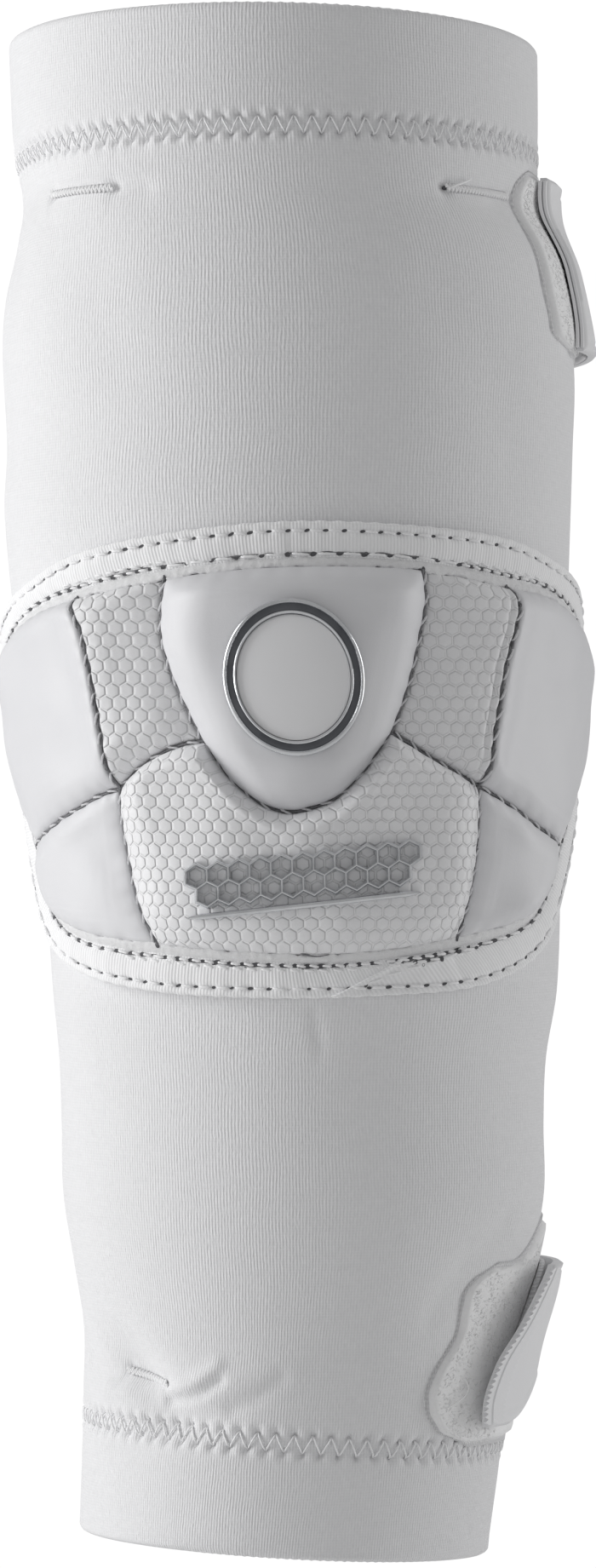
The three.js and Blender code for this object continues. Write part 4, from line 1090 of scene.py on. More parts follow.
def settled(name, coarse=1.9, most=0.7):
    """How a panel's leather settles between its stitches, by cloth simulation, in millimetres.

    The leather is a little larger than its place, held at its stitches and pressed out by its foam.
    """
    places, thick, _, rim, _ = panel_grid(name, coarse)
    rest = on_cap(places, pad_base + thick)
    rows, columns = rest.shape[:2]
    # Cloth is simulated ten times larger, where its stiffness is easier to set.
    large = 10 * MM
    number = np.arange(rows * columns).reshape(rows, columns)
    mesh = bpy.data.meshes.new("leather")
    mesh.from_pydata((rest.reshape(-1, 3) * large).tolist(), [], grid_quads(number).tolist())
    leather_cloth = bpy.data.objects.new("leather", mesh)
    bpy.context.scene.collection.objects.link(leather_cloth)
    held = leather_cloth.vertex_groups.new(name="sewn")
    edge_row = np.minimum(rim, 3.0) / 3.0
    weights = np.where(rim < 0.6, 1.0, 0.12 + 0.5 * (1 - edge_row)).ravel()
    for index, weight in enumerate(weights):
        held.add([index], float(weight), "REPLACE")
    cloth = leather_cloth.modifiers.new("cloth", "CLOTH")
    cloth.settings.quality = 6
    cloth.settings.mass = 0.2
    cloth.settings.tension_stiffness = cloth.settings.compression_stiffness = 12.0
    cloth.settings.bending_stiffness = 0.6
    cloth.settings.vertex_group_mass = "sewn"
    cloth.settings.pin_stiffness = 1.0
    cloth.settings.shrink_min = -0.035
    cloth.settings.use_pressure = True
    cloth.settings.uniform_pressure_force = 4.0
    cloth.settings.effector_weights.gravity = 0.0
    cloth.collision_settings.use_collision = False
    cloth.point_cache.frame_start, cloth.point_cache.frame_end = 1, 20
    for frame_number in range(1, 21):
        bpy.context.scene.frame_set(frame_number)
    done = leather_cloth.evaluated_get(bpy.context.evaluated_depsgraph_get())
    found = np.empty(len(done.data.vertices) * 3)
    done.data.vertices.foreach_get("co", found)
    moves = found.reshape(rows, columns, 3) / large - rest
    size = np.linalg.norm(moves, axis=-1, keepdims=True)
    moves = moves * np.minimum(1, most / np.maximum(size, 1e-6))
    # Beside the seams the stitches hold it still.
    held_back = np.clip((rim - 0.6) / 7.5, 0, 1)
    moves = moves * eased(held_back)[..., None]
    for axis in (0, 1):
        padded = np.concatenate([moves.take([0], axis), moves, moves.take([-1], axis)], axis=axis)
        count = moves.shape[axis]
        moves = (padded.take(range(count), axis) + 2 * moves + padded.take(range(2, count + 2), axis)) / 4
    bpy.data.objects.remove(leather_cloth)
    bpy.data.meshes.remove(mesh)
    bpy.context.scene.frame_set(1)
    return moves


# Small dents in the leather: panel, place across and up in millimetres, width and depth.
LEATHER_DENTS = [
    ("wing_lower_left", -40.1, -21.1, 4.2, 0.5),
    ("wing_upper_left", -60.0, 18.0, 9.0, 0.5),
    ("wing_upper_right", 52.0, 12.0, 10.0, 0.6),
    ("honeycomb_lower", 20.0, -12.0, 10.0, 0.4),
    ("shield_panel", 14.0, 34.0, 7.0, 0.4),
]


# A panel's outside is this much wider than its place on the sleeve.
comb_stretch = 1.16
# The depth of the embossed lines and the stitch length at the seams, in millimetres.
comb_deep, pinch_pitch = 0.16, 4.4
# The grids' spacing on smooth and on embossed panels, in millimetres.
smooth_grid, comb_grid = 0.7, 0.46


def make_panel(name, pitch, finish, comb=False):
    """A panel's leather over its foam, on a grid of this spacing. A comb panel is embossed."""
    places, thick, edges, rim, runs = panel_grid(name, pitch)
    x, y = places[..., 0] * cap_width / 2, places[..., 1] * half_cap
    # Each stitch draws the edge in a little, and the leather is never quite even.
    pinches = [bell(np.minimum(*pair), 2.0) * (0.5 + 0.5 * np.cos(2 * math.pi * run / pinch_pitch)) ** 1.5
               for pair, run in zip((edges[:2], edges[2:]), runs)]
    inner = np.clip(rim / 6, 0, 1)
    thick = thick - 0.4 * np.maximum(*pinches) + 0.3 * inner * drift(x, y, 17.0, len(name))
    for panel, across, up, wide, deep in LEATHER_DENTS:
        if panel == name:
            thick = thick - deep * np.exp(-((x - across) ** 2 + (y - up) ** 2) / wide ** 2)
    # The leather turns under at its seams.
    thick = thick - 0.8 * bell(rim, 0.45)
    if name in FOLDED_EDGES:
        thick = thick - 0.75 * bell(edges[FOLDED_EDGES[name]] - folded_wide, 0.38)
    if comb:
        fade = np.clip((rim - 0.5) / 1.2, 0, 1)
        line = np.clip((hexagons(x * comb_stretch, y, comb_cell) - 0.55) / 0.45, 0, 1)
        thick = thick - comb_deep * line ** 2 * fade
    top = on_cap(places, pad_base + thick)
    top = top + soft_map(settled(name), *top.shape[:2])
    flat = np.stack([x * comb_stretch, y], axis=-1) * MM
    body = sheet_body(top, on_cap(places, pad_base - 0.4))
    piece = make_piece(name.replace("_panel", "") + "_pad", body, finish, (name,),
                       cloth=two_sides(flat))


backing = make_backing()
for panel_name in PANELS:
    if panel_name.startswith("honeycomb"):
        make_panel(panel_name, comb_grid, comb_leather, comb=True)
    else:
        make_panel(panel_name, smooth_grid, leather)


# Binding tape

# The tape's stitch length, and how far its two rows lie inside its edges.
tape_pitch = 4.1
outer_row_in, inner_row_in = 1.9, 0.8
# How far the stitches and the dark strand of painted shade in their channel are drawn in, how far the free
# end lies over the tape, and half the thread's width.
stitch_sunk, channel_shade_sunk, end_rise, tape_thread = 0.36, 0.48, 0.78, 0.29
tape_run, tape_share = arc_shares(lambda t: (band_outer(t) + band_inner(t)) / 2, tape_top, 6000)
tape_stitches = int(round(tape_run[-1] / tape_pitch))


def tape_at(part):
    """The band's share at a part of the tape's run, which may go past one whole turn."""
    return np.interp(np.asarray(part) % 1.0, tape_run / tape_run[-1], tape_share)


def across_band(t, share):
    """Places across the band, from its outer edge at 0 to its inner edge at 1."""
    share = np.broadcast_to(share, np.broadcast(t, share).shape)[..., None]
    return band_outer(t) * (1 - share) + band_inner(t) * share


def tape_place(part, share):
    return across_band(tape_at(part), share * tape_cover)


def tape_width(part):
    """The tape's width in millimetres at a part of its run."""
    t = tape_at(part)
    return cap_distance(band_outer(t), band_inner(t)) * tape_cover


def make_binding():
    """The tape round the cap, drawn down by its stitches and a little wavy at its edge."""
    columns = tape_stitches * 8
    part = np.linspace(0, 1, columns, endpoint=False)[None]
    wide = tape_width(part)
    top = np.linspace(0.05, 0.95, 23)
    profile = [(0.03, 0.3), (-0.015, 1.0), (-0.02, 1.9), (-0.005, 2.7), (0.015, 3.1)]
    profile += [(s, 3.3) for s in top] + [(0.985, 3.1), (1.0, 2.75), (0.99, 2.2), (0.6, 1.7), (0.3, 1.7)]
    share, level = table_columns(profile)
    on_top = ((share >= 0.05) & (share <= 0.95)) * 1.0
    phase = 2 * math.pi * part * tape_stitches
    pulled = 0.75 + 0.25 * np.cos(phase)
    outer_row = bell(share * wide - outer_row_in, 0.75)
    inner_row = bell((1 - share) * wide - inner_row_in, 0.75)
    crown = 0.34 * (1 - (2 * share - 1) ** 2)
    between = 0.03 * np.cos(phase) * bell(share - 0.5, 0.3)
    level = level + on_top * (crown - 0.5 * (outer_row + inner_row) * pulled - between)
    level = level + 0.16 * drift(part * tape_run[-1], share * 9.0, 14.0, 23) * (share > -0.01)
    wavy = share + 0.012 * np.sin(phase) * (share < 0.03)
    places = tape_place(part + 0 * share, wavy)
    flat = np.stack(np.broadcast_arrays(part * tape_run[-1] * MM, share * wide * MM), axis=-1)
    body = ring_body(on_cap(places, level))
    piece = make_piece("binding_tape", body, tape, ("binding",), cloth=flat)
    return wrap_cloth(piece, body, np.concatenate([flat, flat[:, :1] + [tape_run[-1] * MM, 0]], axis=1))


# The tape laid flat, whole: its length and how wide its face is, in millimetres.
tape_long, tape_wide = 480.0, 9.0
# The tape's free end: its start and length on the band's numbering, and how far its end slants.
end_start, end_length, end_slant = 11.15, 33.0, 0.67
one_row = float(cap_distance(band_outer(end_start / len(BAND)), band_outer((end_start + 1) / len(BAND))))


def over_end(part, share):
    """1 where a place of the tape lies under its free end."""
    along = (tape_at(part) * len(BAND) - end_start) * one_row / (end_length * (1 - end_slant * share))
    return np.clip(along * 6, 0, 1) * np.clip((1 - along) * 12, 0, 1)


def part_of(number):
    """The part of the tape's run at a place on the band's numbering."""
    turns = np.floor(number / len(BAND))
    return turns + np.interp(number / len(BAND) - turns, tape_share, tape_run / tape_run[-1])


def stitch_parts(first, last, length, shift=0.0):
    """Where each stitch of about this length starts and ends, as parts of the tape's run."""
    start, end = part_of(first), part_of(last)
    count = max(int(round((end - start) * tape_run[-1] / length)), 1)
    edges = start + (end - start) * (np.arange(count + 1) + shift) / count
    return edges[:-1], edges[1:]


def tape_row(from_outer, offset, starts, ends, deeper=0.0):
    """One stitch row on the tape: its threads and the painted shade of its needle holes. A deeper one has
    larger ovals of that shade.
    """
    def share_at(part):
        wide = tape_width(part)
        return offset / wide if from_outer else 1 - offset / wide

    def level_at(part):
        return tape_top - stitch_sunk + end_rise * over_end(part, share_at(part))

    def parts_at(t):
        return starts[:, None] + (0.14 + 0.72 * t[None]) * (ends - starts)[:, None]
    threads = stitch_body(lambda t: tape_place(parts_at(t), share_at(parts_at(t))),
                          lambda t: level_at(parts_at(t)), radius=tape_thread, arch=0.3)
    small = 0.3 / tape_run[-1]
    level = level_at(starts)
    place = tape_place(starts, share_at(starts))
    base = on_cap(place, level)
    ahead = on_cap(tape_place(starts + small, share_at(starts)), level)
    behind = on_cap(tape_place(starts - small, share_at(starts)), level)
    holes = hole_shade_body(base, on_cap(place, level + 1.0) - base, ahead - behind,
                      long=0.72 + 0.25 * deeper, wide=0.34 + 0.16 * deeper)
    return threads, holes


def make_felt_strip():
    """The felt's raw edge, which shows between the tape and the panels."""
    columns = 900
    part = np.linspace(0, 1, columns, endpoint=False)[None]
    t = tape_at(part)
    profile = [(0.74, 2.1), (0.74, 2.6), (0.82, 3.0), (0.88, 3.5), (0.93, 3.75), (0.99, 3.9), (1.03, 3.9),
               (1.06, 3.6), (1.06, 3.0), (0.9, 2.2)]
    share, level = table_columns(profile)
    run = part * tape_run[-1]
    ragged = 0.035 * drift(run, 0 * share, 2.2, 31) + 0.03 * drift(run, share, 7.0, 32)
    share = share + ragged * (share > 0.95)
    level = level + 0.14 * drift(run, share * 20, 2.6, 33)
    body = ring_body(on_cap(across_band(t, share), level))
    return make_piece("felt_edge", body, felt, ("cap_backing",))


binding = make_binding()
felt_edge = make_felt_strip()
# The inner row, on the band's numbering: from, to, stitch length and how many rows are sewn.
INNER_ROWS = [(25.0, 27.4, 5.9, 1), (27.4, 28.7, 3.0, 2), (28.7, 36.8, 4.05, 1),
              (36.8, 40.3, 3.0, 2), (40.3, 49.6, 4.05, 1), (49.6, 51.0, 3.0, 2)]
outer_length = 4.05
tape_rows = [tape_row(True, outer_row_in, *stitch_parts(0, len(BAND), outer_length))]
for first, last, length, rows_sewn in INNER_ROWS:
    tape_rows.append(tape_row(False, inner_row_in, *stitch_parts(first, last, length), deeper=1.0))
    if rows_sewn == 2:
        second = stitch_parts(first, last, length * 1.07, 0.45)
        tape_rows.append(tape_row(False, inner_row_in + 1.0, *second, deeper=0.6))
# A row that follows the slant of the tape's free end, its stitch length with a gap, and the gap.
end_pitch, end_gap = 4.6, 1.3
end_row = smooth_line([(0.127, -0.938), (0.172, -0.898), (0.236, -0.859),
                       (0.291, -0.833), (0.34, -0.795), (0.382, -0.78)])
tape_rows.append(seam_stitches(end_row, tape_top - stitch_sunk + end_rise, end_pitch, end_gap,
                               radius=tape_thread, arch=0.3))
thread_rows, hole_shade_rows = zip(*tape_rows)
tape_threads = make_piece("binding_stitches", merged(thread_rows), white_thread, ("binding",))
# Dark ovals of painted shade at the tape's needle holes.
tape_hole_shades = make_piece("binding_needle_hole_shades", merged(hole_shade_rows), needle_hole_shade, ("binding",))


def make_channel_shade_strand():
    """A dark strand of painted shade in the channel that the inner row's stitches draw."""
    part = np.linspace(0.0005, 0.9995, 1400)
    wander = 0.12 * drift(part * tape_run[-1], 0 * part, 6.0, 95)
    place = tape_place(part, 1 - (inner_row_in + 0.3 + wander) / tape_width(part))
    line, over = over_cap(place, tape_top - channel_shade_sunk + end_rise * over_end(part, 0.9))
    thick = 0.2 * (1 + 0.35 * drift(part * tape_run[-1], 0 * part, 5.0, 96))
    thread = tube_bodies(line[None], over[None], thick[None], sides=6)
    return make_piece("binding_channel_shade_strand", thread, dark_thread_and_shade, ("binding",))


channel_shade_strand = make_channel_shade_strand()


def make_loose_thread():
    """A thread's end left lying on the felt below the honeycomb."""
    share = np.linspace(0, 1, 16)
    places = smooth_line([(-0.016, -0.788), (-0.002, -0.802), (0.009, -0.809),
                          (0.026, -0.813), (0.05, -0.805)])
    line, over = over_cap(places(share), 4.4 + 0.5 * (1 - share))
    thin = 0.3 * (1 - 0.7 * share)
    thread = tube_bodies(line[None], over[None], thin[None], sides=6, twist=5.0)
    return make_piece("loose_thread", thread, dark_thread_and_shade, ("binding",))


loose_thread = make_loose_thread()


def make_binding_end():
    """The tape's free end, cut on the slant and laid over the tape at the lower edge."""
    start = end_start / len(BAND)
    rows, columns = 30, 110
    share = np.linspace(0.02, 0.98, rows)[:, None]
    along = np.linspace(0, 1, columns)[None]
    length = end_length / one_row / len(BAND)
    t = start + length * (1 - end_slant * share) * along
    places = across_band(t, share * tape_cover)
    wide = cap_distance(band_outer(t), band_inner(t)) * tape_cover
    pressed = bell(share * wide - outer_row_in, 0.8) + bell((1 - share) * wide - inner_row_in, 0.8)
    folded = bell((1 - along) * 14 - 0.6, 1.0)
    thin = np.clip((1 - along) * 60, 0, 1) * np.clip(along * 3, 0, 1)
    level = 3.3 + 0.75 * np.sqrt(thin) + 0.5 * folded * thin - 0.3 * pressed
    level = level + 0.12 * drift(along * 24, share * 9, 8.0, 41)
    flat = np.stack(np.broadcast_arrays(t * tape_long * MM, share * tape_wide * MM), axis=-1)
    body = sheet_body(on_cap(places, level), on_cap(places, 2.7 + 0 * level))
    return make_piece("binding_tape_end", body, tape, ("binding_end",), cloth=two_sides(flat))


binding_end = make_binding_end()

# Seam stitches between the panels, drawn down into the grooves, with painted shade at their needle holes
# and a dark strand of painted shade along each groove.
seam_threads, seam_hole_shades, seam_groove_shades = [], [], []
groove_level = pad_base + panel_edge - 0.45
# The seam stitches' length with their gap, and the gap.
seam_pitch, seam_gap = 4.3, 1.5
seam_ridges = {"comb_left": ridge_height("honeycomb_left"), "comb_right": ridge_height("honeycomb_right")}
for seam_name, curve in seam.items():
    shares, heights = seam_ridges.get(seam_name, ((0.0, 1.0), (panel_edge, panel_edge)))

    def raised(share):
        return np.interp(share, shares, heights) - panel_edge
    threads, holes = seam_stitches(curve, groove_level, seam_pitch, seam_gap, raised,
                                   radius=0.25, arch=0.4, sink=0.5, slant=0.55)
    seam_threads.append(threads)
    seam_hole_shades.append(holes)
    # A dark strand along each groove: painted shade of the seam's groove.
    share = np.linspace(0, 1, 160)
    line = curve(share)
    wander = 0.16 * drift(share * 40, 0 * share, 3.0, 91)
    line = line + np.stack([wander * 2 / cap_width, 0.3 * wander / half_cap], axis=-1)
    core, over = over_cap(line, groove_level - 0.1 + raised(share))
    thick_here = 0.3 * (1 + 0.25 * drift(share * 40, 0 * share, 5.0, 92))
    seam_groove_shades.append(tube_bodies(core[None], over[None], thick_here[None], sides=6, twist=3.0))
seam_nodes = ("shield_panel", "honeycomb_lower")
make_piece("panel_seam_groove_shade", merged(seam_groove_shades), dark_thread_and_shade, seam_nodes)
make_piece("panel_seam_stitches", merged(seam_threads), grey_thread, seam_nodes)
make_piece("panel_needle_hole_shades", merged(seam_hole_shades), needle_hole_shade, seam_nodes)


# Badge and trim

def badge_point(angle, share, out):
    """A point over the badge's place, at a share of its half width and half height."""
    across = badge_width / 2 * share * np.sin(angle)
    return on_panel(across, badge_centre + badge_height / 2 * share * np.cos(angle), out)


rim_width = 3.0
rim_inner = 1 - rim_width / (badge_width / 2)


def badge_ring(name, profile, finish):
    """A ring of the badge's rim, from shares of its half size and levels."""
    angle = np.linspace(0, 2 * math.pi, 180, endpoint=False)[None]
    share, out = table_columns(profile)
    body = ring_body(badge_point(angle, share, badge_base + out))
    make_piece(name, body, finish, ("badge_rim",), crisp=35)


badge_ring("badge_rim_outer", [
    (1.0, -0.8), (1.0, 1.2), (0.992, 1.55), (0.975, 1.75),
    (0.955, 1.75), (0.94, 1.5), (0.935, 1.1), (0.935, -0.8)], bright)
# The channel between the rims is partly a grey finish and partly painted dark reflection.
badge_ring("badge_rim_channel", [
    (0.937, 0.2), (0.937, 1.2), (0.925, 1.28), (0.86, 1.3), (0.85, 1.2), (0.85, 0.2)], channel)
badge_ring("badge_rim_inner", [
    (0.852, -0.8), (0.852, 1.35), (0.845, 1.6), (0.832, 1.7),
    (0.818, 1.6), (0.808, 1.3), (0.803, -0.8)], bright)


def make_badge_field():
    """The plain field inside the rim, dished a little at its edge."""
    angle = np.linspace(0, 2 * math.pi, 180, endpoint=False)[None]
    share = np.concatenate([np.linspace(0.0, 1.0, 24) * (rim_inner - 0.005), [rim_inner - 0.005]])[1:, None]
    dish = 1.0 - 0.25 * (share / rim_inner) ** 4
    top = badge_point(angle, share, badge_base + dish)
    under = badge_point(angle, share, badge_base - 0.6 + 0 * share)
    rows = np.concatenate([top, under[::-1]])
    points, groups = ring_body(rows)
    # The loop closes at the middle, where both small rings are filled.
    count = rows.shape[1]
    groups = [groups[0][:-count], np.stack([np.arange(count)[::-1], np.arange(count) + len(points) - count])]
    make_piece("badge_field_plate", (points, groups), field, ("badge_field",))


make_badge_field()


def on_trim(x, y, out):
    """A point over the trim's place, along its slope."""
    return on_panel(x, trim_centre + y + trim_slope * x, trim_base + out)


cell_side = trim_cell / math.sqrt(3)


def trim_cells():
    """The middles of both rows of hexagon cells."""
    cells = []
    for row in (0, 1):
        count = trim_count - row
        cells += [((i - (count - 1) / 2) * trim_cell, (0.5 - row) * 1.5 * cell_side) for i in range(count)]
    return cells


def trim_outline(line):
    """The outline round both rows of cells, half a line outside them, counter-clockwise."""
    radius, half = (trim_cell + line) / math.sqrt(3), (trim_cell + line) / 2
    valley = radius - trim_cell / (2 * math.sqrt(3))
    cells = trim_cells()
    upper, lower = cells[:trim_count], cells[trim_count:]
    (ux, uy), (lx, ly) = upper[-1], lower[-1]
    right = [(ux + half, uy + radius / 2), (ux + half, uy - radius / 2),
             (ux + line / 2, uy - radius + line / (2 * math.sqrt(3))), (lx + half, ly - radius / 2)]

    def crest(row, sign):
        points = []
        for i, (x, y) in enumerate(row):
            points.append((x, y + sign * radius))
            if i < len(row) - 1:
                points.append((x + trim_cell / 2, y + sign * valley))
        return points
    left = [(-x, y) for x, y in right][::-1]
    return (crest(upper, 1) + right + crest(lower, -1)[::-1] + left)[::-1]


def make_trim():
    """Hexagon cells with bevelled walls, in two staggered rows."""
    levels = [(0.0, trim_wall), (0.35, trim_wall - 0.02), (0.75, trim_wall - 0.32), (1.0, 0.35), (1.0, -1.0)]
    bodies = []
    for x, y in trim_cells():
        loops = []
        for share, out in levels + [(0.0, -1.0)]:
            radius = (trim_cell - trim_line * share) / math.sqrt(3)
            angle = np.arange(6) * math.pi / 3
            loops.append(on_trim(x + radius * np.sin(angle), y + radius * np.cos(angle), out))
        bodies.append(ring_body(np.stack(loops)))
    loops = []
    for share, out in levels + [(0.0, -1.0)]:
        outline = np.array(trim_outline(trim_line * share))
        loops.append(on_trim(outline[:, 0], outline[:, 1], out))
    points, groups = ring_body(np.stack(loops))
    bodies.append((points, [groups[0][:, ::-1]]))
    make_piece("hexagon_trim", merged(bodies), bright, ("trim",), crisp=20)


def make_trim_bar():
    """The slim bar under the cells, which tapers at both ends."""
    half = trim_count * trim_cell / 2
    top = -0.75 * cell_side - (trim_cell + trim_line) / math.sqrt(3) - 0.9
    x = np.linspace(-half, half, 90)[None]
    taper = np.minimum(1, (half - np.abs(x)) / 3.0) ** 0.5
    profile = [(-0.5, -1.0), (-0.5, 0.6), (-0.38, 0.92), (-0.1, 1.1),
               (0.1, 1.1), (0.38, 0.92), (0.5, 0.6), (0.5, -1.0)]
    share, out = table_columns(profile)
    rows = on_trim(x + 0 * share, top - 0.6 + share * 1.2 * taper, out)
    points, groups = ring_body(np.transpose(rows, (1, 0, 2)))
    sides = len(profile)
    groups = [groups[0][:-sides], np.stack([np.arange(sides), np.arange(sides)[::-1] + len(points) - sides])]
    make_piece("trim_bar_strip", (points, groups), bright, ("trim_bar",), crisp=20)


make_trim()
make_trim_bar()


# Straps

# Height of the strap's middle, where the patch and the tab start, in degrees at shares of the width from
# its lower edge up, and how far the patch's upper and the tab's lower edge rise towards the back.
STRAPS = {
    "upper": (0.702 * upper_length - 2.6, np.array([
        (-0.5, 77.0), (-0.46, 69.3), (-0.42, 66.3), (-0.34, 65.5), (-0.19, 64.1), (0.0, 63.6),
        (0.166, 63.9), (0.34, 66.6), (0.44, 68.4), (0.5, 71.5)]), np.array([
            (-0.5, 77.0), (-0.3, 79.5), (-0.06, 79.5), (0.1, 79.0), (0.3, 78.0), (0.5, 76.8)]), 0.0, 0.0),
    "lower": (-0.7485 * lower_length, np.array([
        (-0.5, 53.0), (-0.44, 43.6), (-0.38, 40.4), (-0.3, 37.8), (-0.19, 37.2), (-0.07, 39.6), (0.04, 43.5),
        (0.13, 46.4), (0.26, 47.0), (0.37, 47.8), (0.45, 51.5), (0.5, 57.0)]), np.array([
            (-0.5, 53.5), (-0.358, 52.5), (-0.245, 53.4), (-0.074, 56.6), (0.113, 62.6), (0.337, 67.8),
            (0.416, 70.3), (0.5, 73.0)]), 9.0, 9.0),
}
# How far each tab is lifted at its front.
TAB_LIFT = {"upper": -1.3, "lower": 1.0}
# How far each tab's upper end stands away and its lower end is drawn up.
TAB_TOP = {"upper": 0.0, "lower": 2.2}
TAB_RISE = {"upper": 0.0, "lower": 3.4}
# The worn straps lie flatter than their solids: levels over the sleeve, in millimetres.
patch_edge, patch_thick, strap_thick, tab_thick, tab_low = 0.3, 1.7, 1.2, 2.3, 3.1
loop_back, strap_anchor, tab_back, tab_overhang = 128.0, 245.0, 112.0, 12.0
# The box of stitches at a strap's end: degrees from the end and long, and half its height and its stitch
# length in millimetres.
box_in, box_long, box_half, box_pitch = 3.0, 11.0, 16.0, 3.2
# How many fibres each loop patch has.
pile_fibres = 2800


def rising(turn, amount):
    """How far an edge rises round the side of the arm, and comes back behind it."""
    up, down = np.clip((turn - 64) / 26, 0, 1), np.clip((turn - 104) / 44, 0, 1)
    return amount * eased(up) * (1 - eased(down))


def strip_grid(first, end, height, share, columns, upper_rise=0.0, lower_rise=0.0):
    """Turns and heights of a strap's strip, from a front edge given at each share to one turn."""
    along = np.linspace(0, 1, columns)[None]
    turn = first + (end - first) * along
    high = height + strap_width * share + rising(turn, upper_rise) * (0.5 + share)
    return turn, high + rising(turn, lower_rise) * (0.5 - share), along


def sleeve_sheet(turn, high, top, low):
    """A sheet over the sleeve between two levels, at turns in degrees."""
    return sheet_body(skin(np.radians(turn), high, top), skin(np.radians(turn), high, low))


def cloth_layout(turn, high):
    """A strip's flat layout, the same for both of its faces."""
    return two_sides(np.stack([np.radians(turn) * mean_radius * MM, high * MM], axis=-1))


def strap_level(turn):
    """A strap's underside: on the loop patch, and down on the knit behind it."""
    return patch_edge + (patch_thick + 0.1) * (1 - eased(np.clip((turn - loop_back - 7) / 16, 0, 1)))


def make_loop_base(side):
    """The knitted ground of the loop patch, a little wider than its pile."""
    height, starts, _, upper_rise, _ = STRAPS[side]
    share = np.linspace(-0.53, 0.53, 64)[:, None]
    first = read_table(starts, 1, np.clip(share, -0.5, 0.5)) - 1.3 + 90 * np.clip(np.abs(share) - 0.5, 0, 1)
    turn, high, _ = strip_grid(first, loop_back, height, share, 50, upper_rise)
    lift = 0.35 + 0.12 * drift(turn, high, 6.0, 54)
    return make_piece(side + "_loop_ground", sleeve_sheet(turn, high, lift, lift - 0.8), webbing,
                      (side + "_loop_patch",), cloth=cloth_layout(turn, high))


def make_loop_patch(side):
    """The loop patch's brushed body, with a soft edge all round."""
    height, starts, _, upper_rise, _ = STRAPS[side]
    share = (close_to_edges(64, 1.3) - 0.5)[:, None]
    turn, high, along = strip_grid(read_table(starts, 1, share), loop_back, height, share, 90, upper_rise)
    edge = np.minimum((0.5 - np.abs(share)) * strap_width, along * (loop_back - turn[:, :1]) * 0.9)
    soft = np.clip(edge / 1.6, 0, 1)
    top = patch_edge + (patch_thick - patch_edge) * np.sqrt(1 - (1 - soft) ** 2)
    top = top + 0.05 * drift(turn, high, 5.0, 52)
    body = sleeve_sheet(turn, high, top, -patch_edge)
    return make_piece(side + "_loop_base", body, pile, (side + "_loop_patch",))


def make_pile(side, count):
    """The pile's brushed fibres, thick where the patch shows and thin along its edges."""
    height, starts, tabs, upper_rise, _ = STRAPS[side]
    grow = np.random.default_rng(61 if side == "upper" else 62)
    share = grow.uniform(-0.49, 0.49, count)
    first = read_table(starts, 1, share)
    turn = first + (read_table(tabs, 1, share) + 12 - first) * grow.uniform(0.0, 1, count) ** 1.2
    high = height + strap_width * share + rising(turn, upper_rise) * (0.5 + share)
    rim = np.minimum((0.5 - np.abs(share)) * strap_width, (turn - first) * 0.9)
    low = 1.5 * (1 - np.clip(rim / 1.6, 0, 1)) ** 2
    steps = np.linspace(0, 1, 4)[None]
    # Brushed across the arm, with a little disorder.
    lean = grow.normal(0.0, 0.3, (count, 1))
    curl = grow.uniform(-0.8, 0.8, (count, 1))
    spread = grow.uniform(0.5, 1.5, (count, 1)) * steps
    tall = grow.uniform(0.05, 0.3, (count, 1))
    turns = np.radians(turn)[:, None] + spread * np.cos(lean + curl * steps) / mean_radius
    highs = high[:, None] + spread * np.sin(lean + curl * steps)
    out = patch_thick - 0.12 - low[:, None] + tall * np.sin(steps * math.pi)
    lines = skin(turns, highs, out)
    _, up = over_sleeve(turns[:, :1], highs[:, :1], out[:, :1])
    thin = 0.075 * (1 - 0.5 * steps)
    bodies = [tube_bodies(lines, np.broadcast_to(up, lines.shape), thin, sides=3)]
    if side == "lower":
        stray = smooth_line([(41.5, -139.0, 2.2), (44.0, -137.8, 3.0), (46.6, -136.6, 3.1),
                             (48.2, -134.8, 2.9), (47.4, -132.6, 2.3)])
        turn, high, out = stray(np.linspace(0, 1, 24)).T
        line, over = over_sleeve(np.radians(turn), high, out)
        bodies.append(tube_bodies(line[None], over[None], 0.16, sides=5))
    return make_piece(side + "_loop_fibres", merged(bodies), pile, (side + "_loop_patch",))


def make_strap(side):
    """The webbing from under its tab to where it is sewn down."""
    height, _, tabs, _, lower_rise = STRAPS[side]
    share = np.linspace(-0.5, 0.5, 30)[:, None]
    first = read_table(tabs, 1, share) + tab_overhang
    turn, high, _ = strip_grid(first, strap_anchor, height, share, 140, 0.0, lower_rise)
    high = high + TAB_RISE[side] * (0.5 - share)
    edge = 1 - np.clip((0.5 - np.abs(share)) / 0.03, 0, 1)
    thick = strap_thick - 0.4 * edge ** 2
    sag = 0.25 * drift(turn * 1.2, high, 30.0, 71)
    level = strap_level(turn) + sag * np.clip((turn - 140) / 20, 0, 1)
    pressed = 0.35 * bell(strap_anchor - box_in - turn, 1.0)
    body = sleeve_sheet(turn, high, level + thick - pressed, level - 0.1)
    return make_piece(side + "_strap_webbing", body, webbing, (side + "_strap",),
                      cloth=cloth_layout(turn, high))


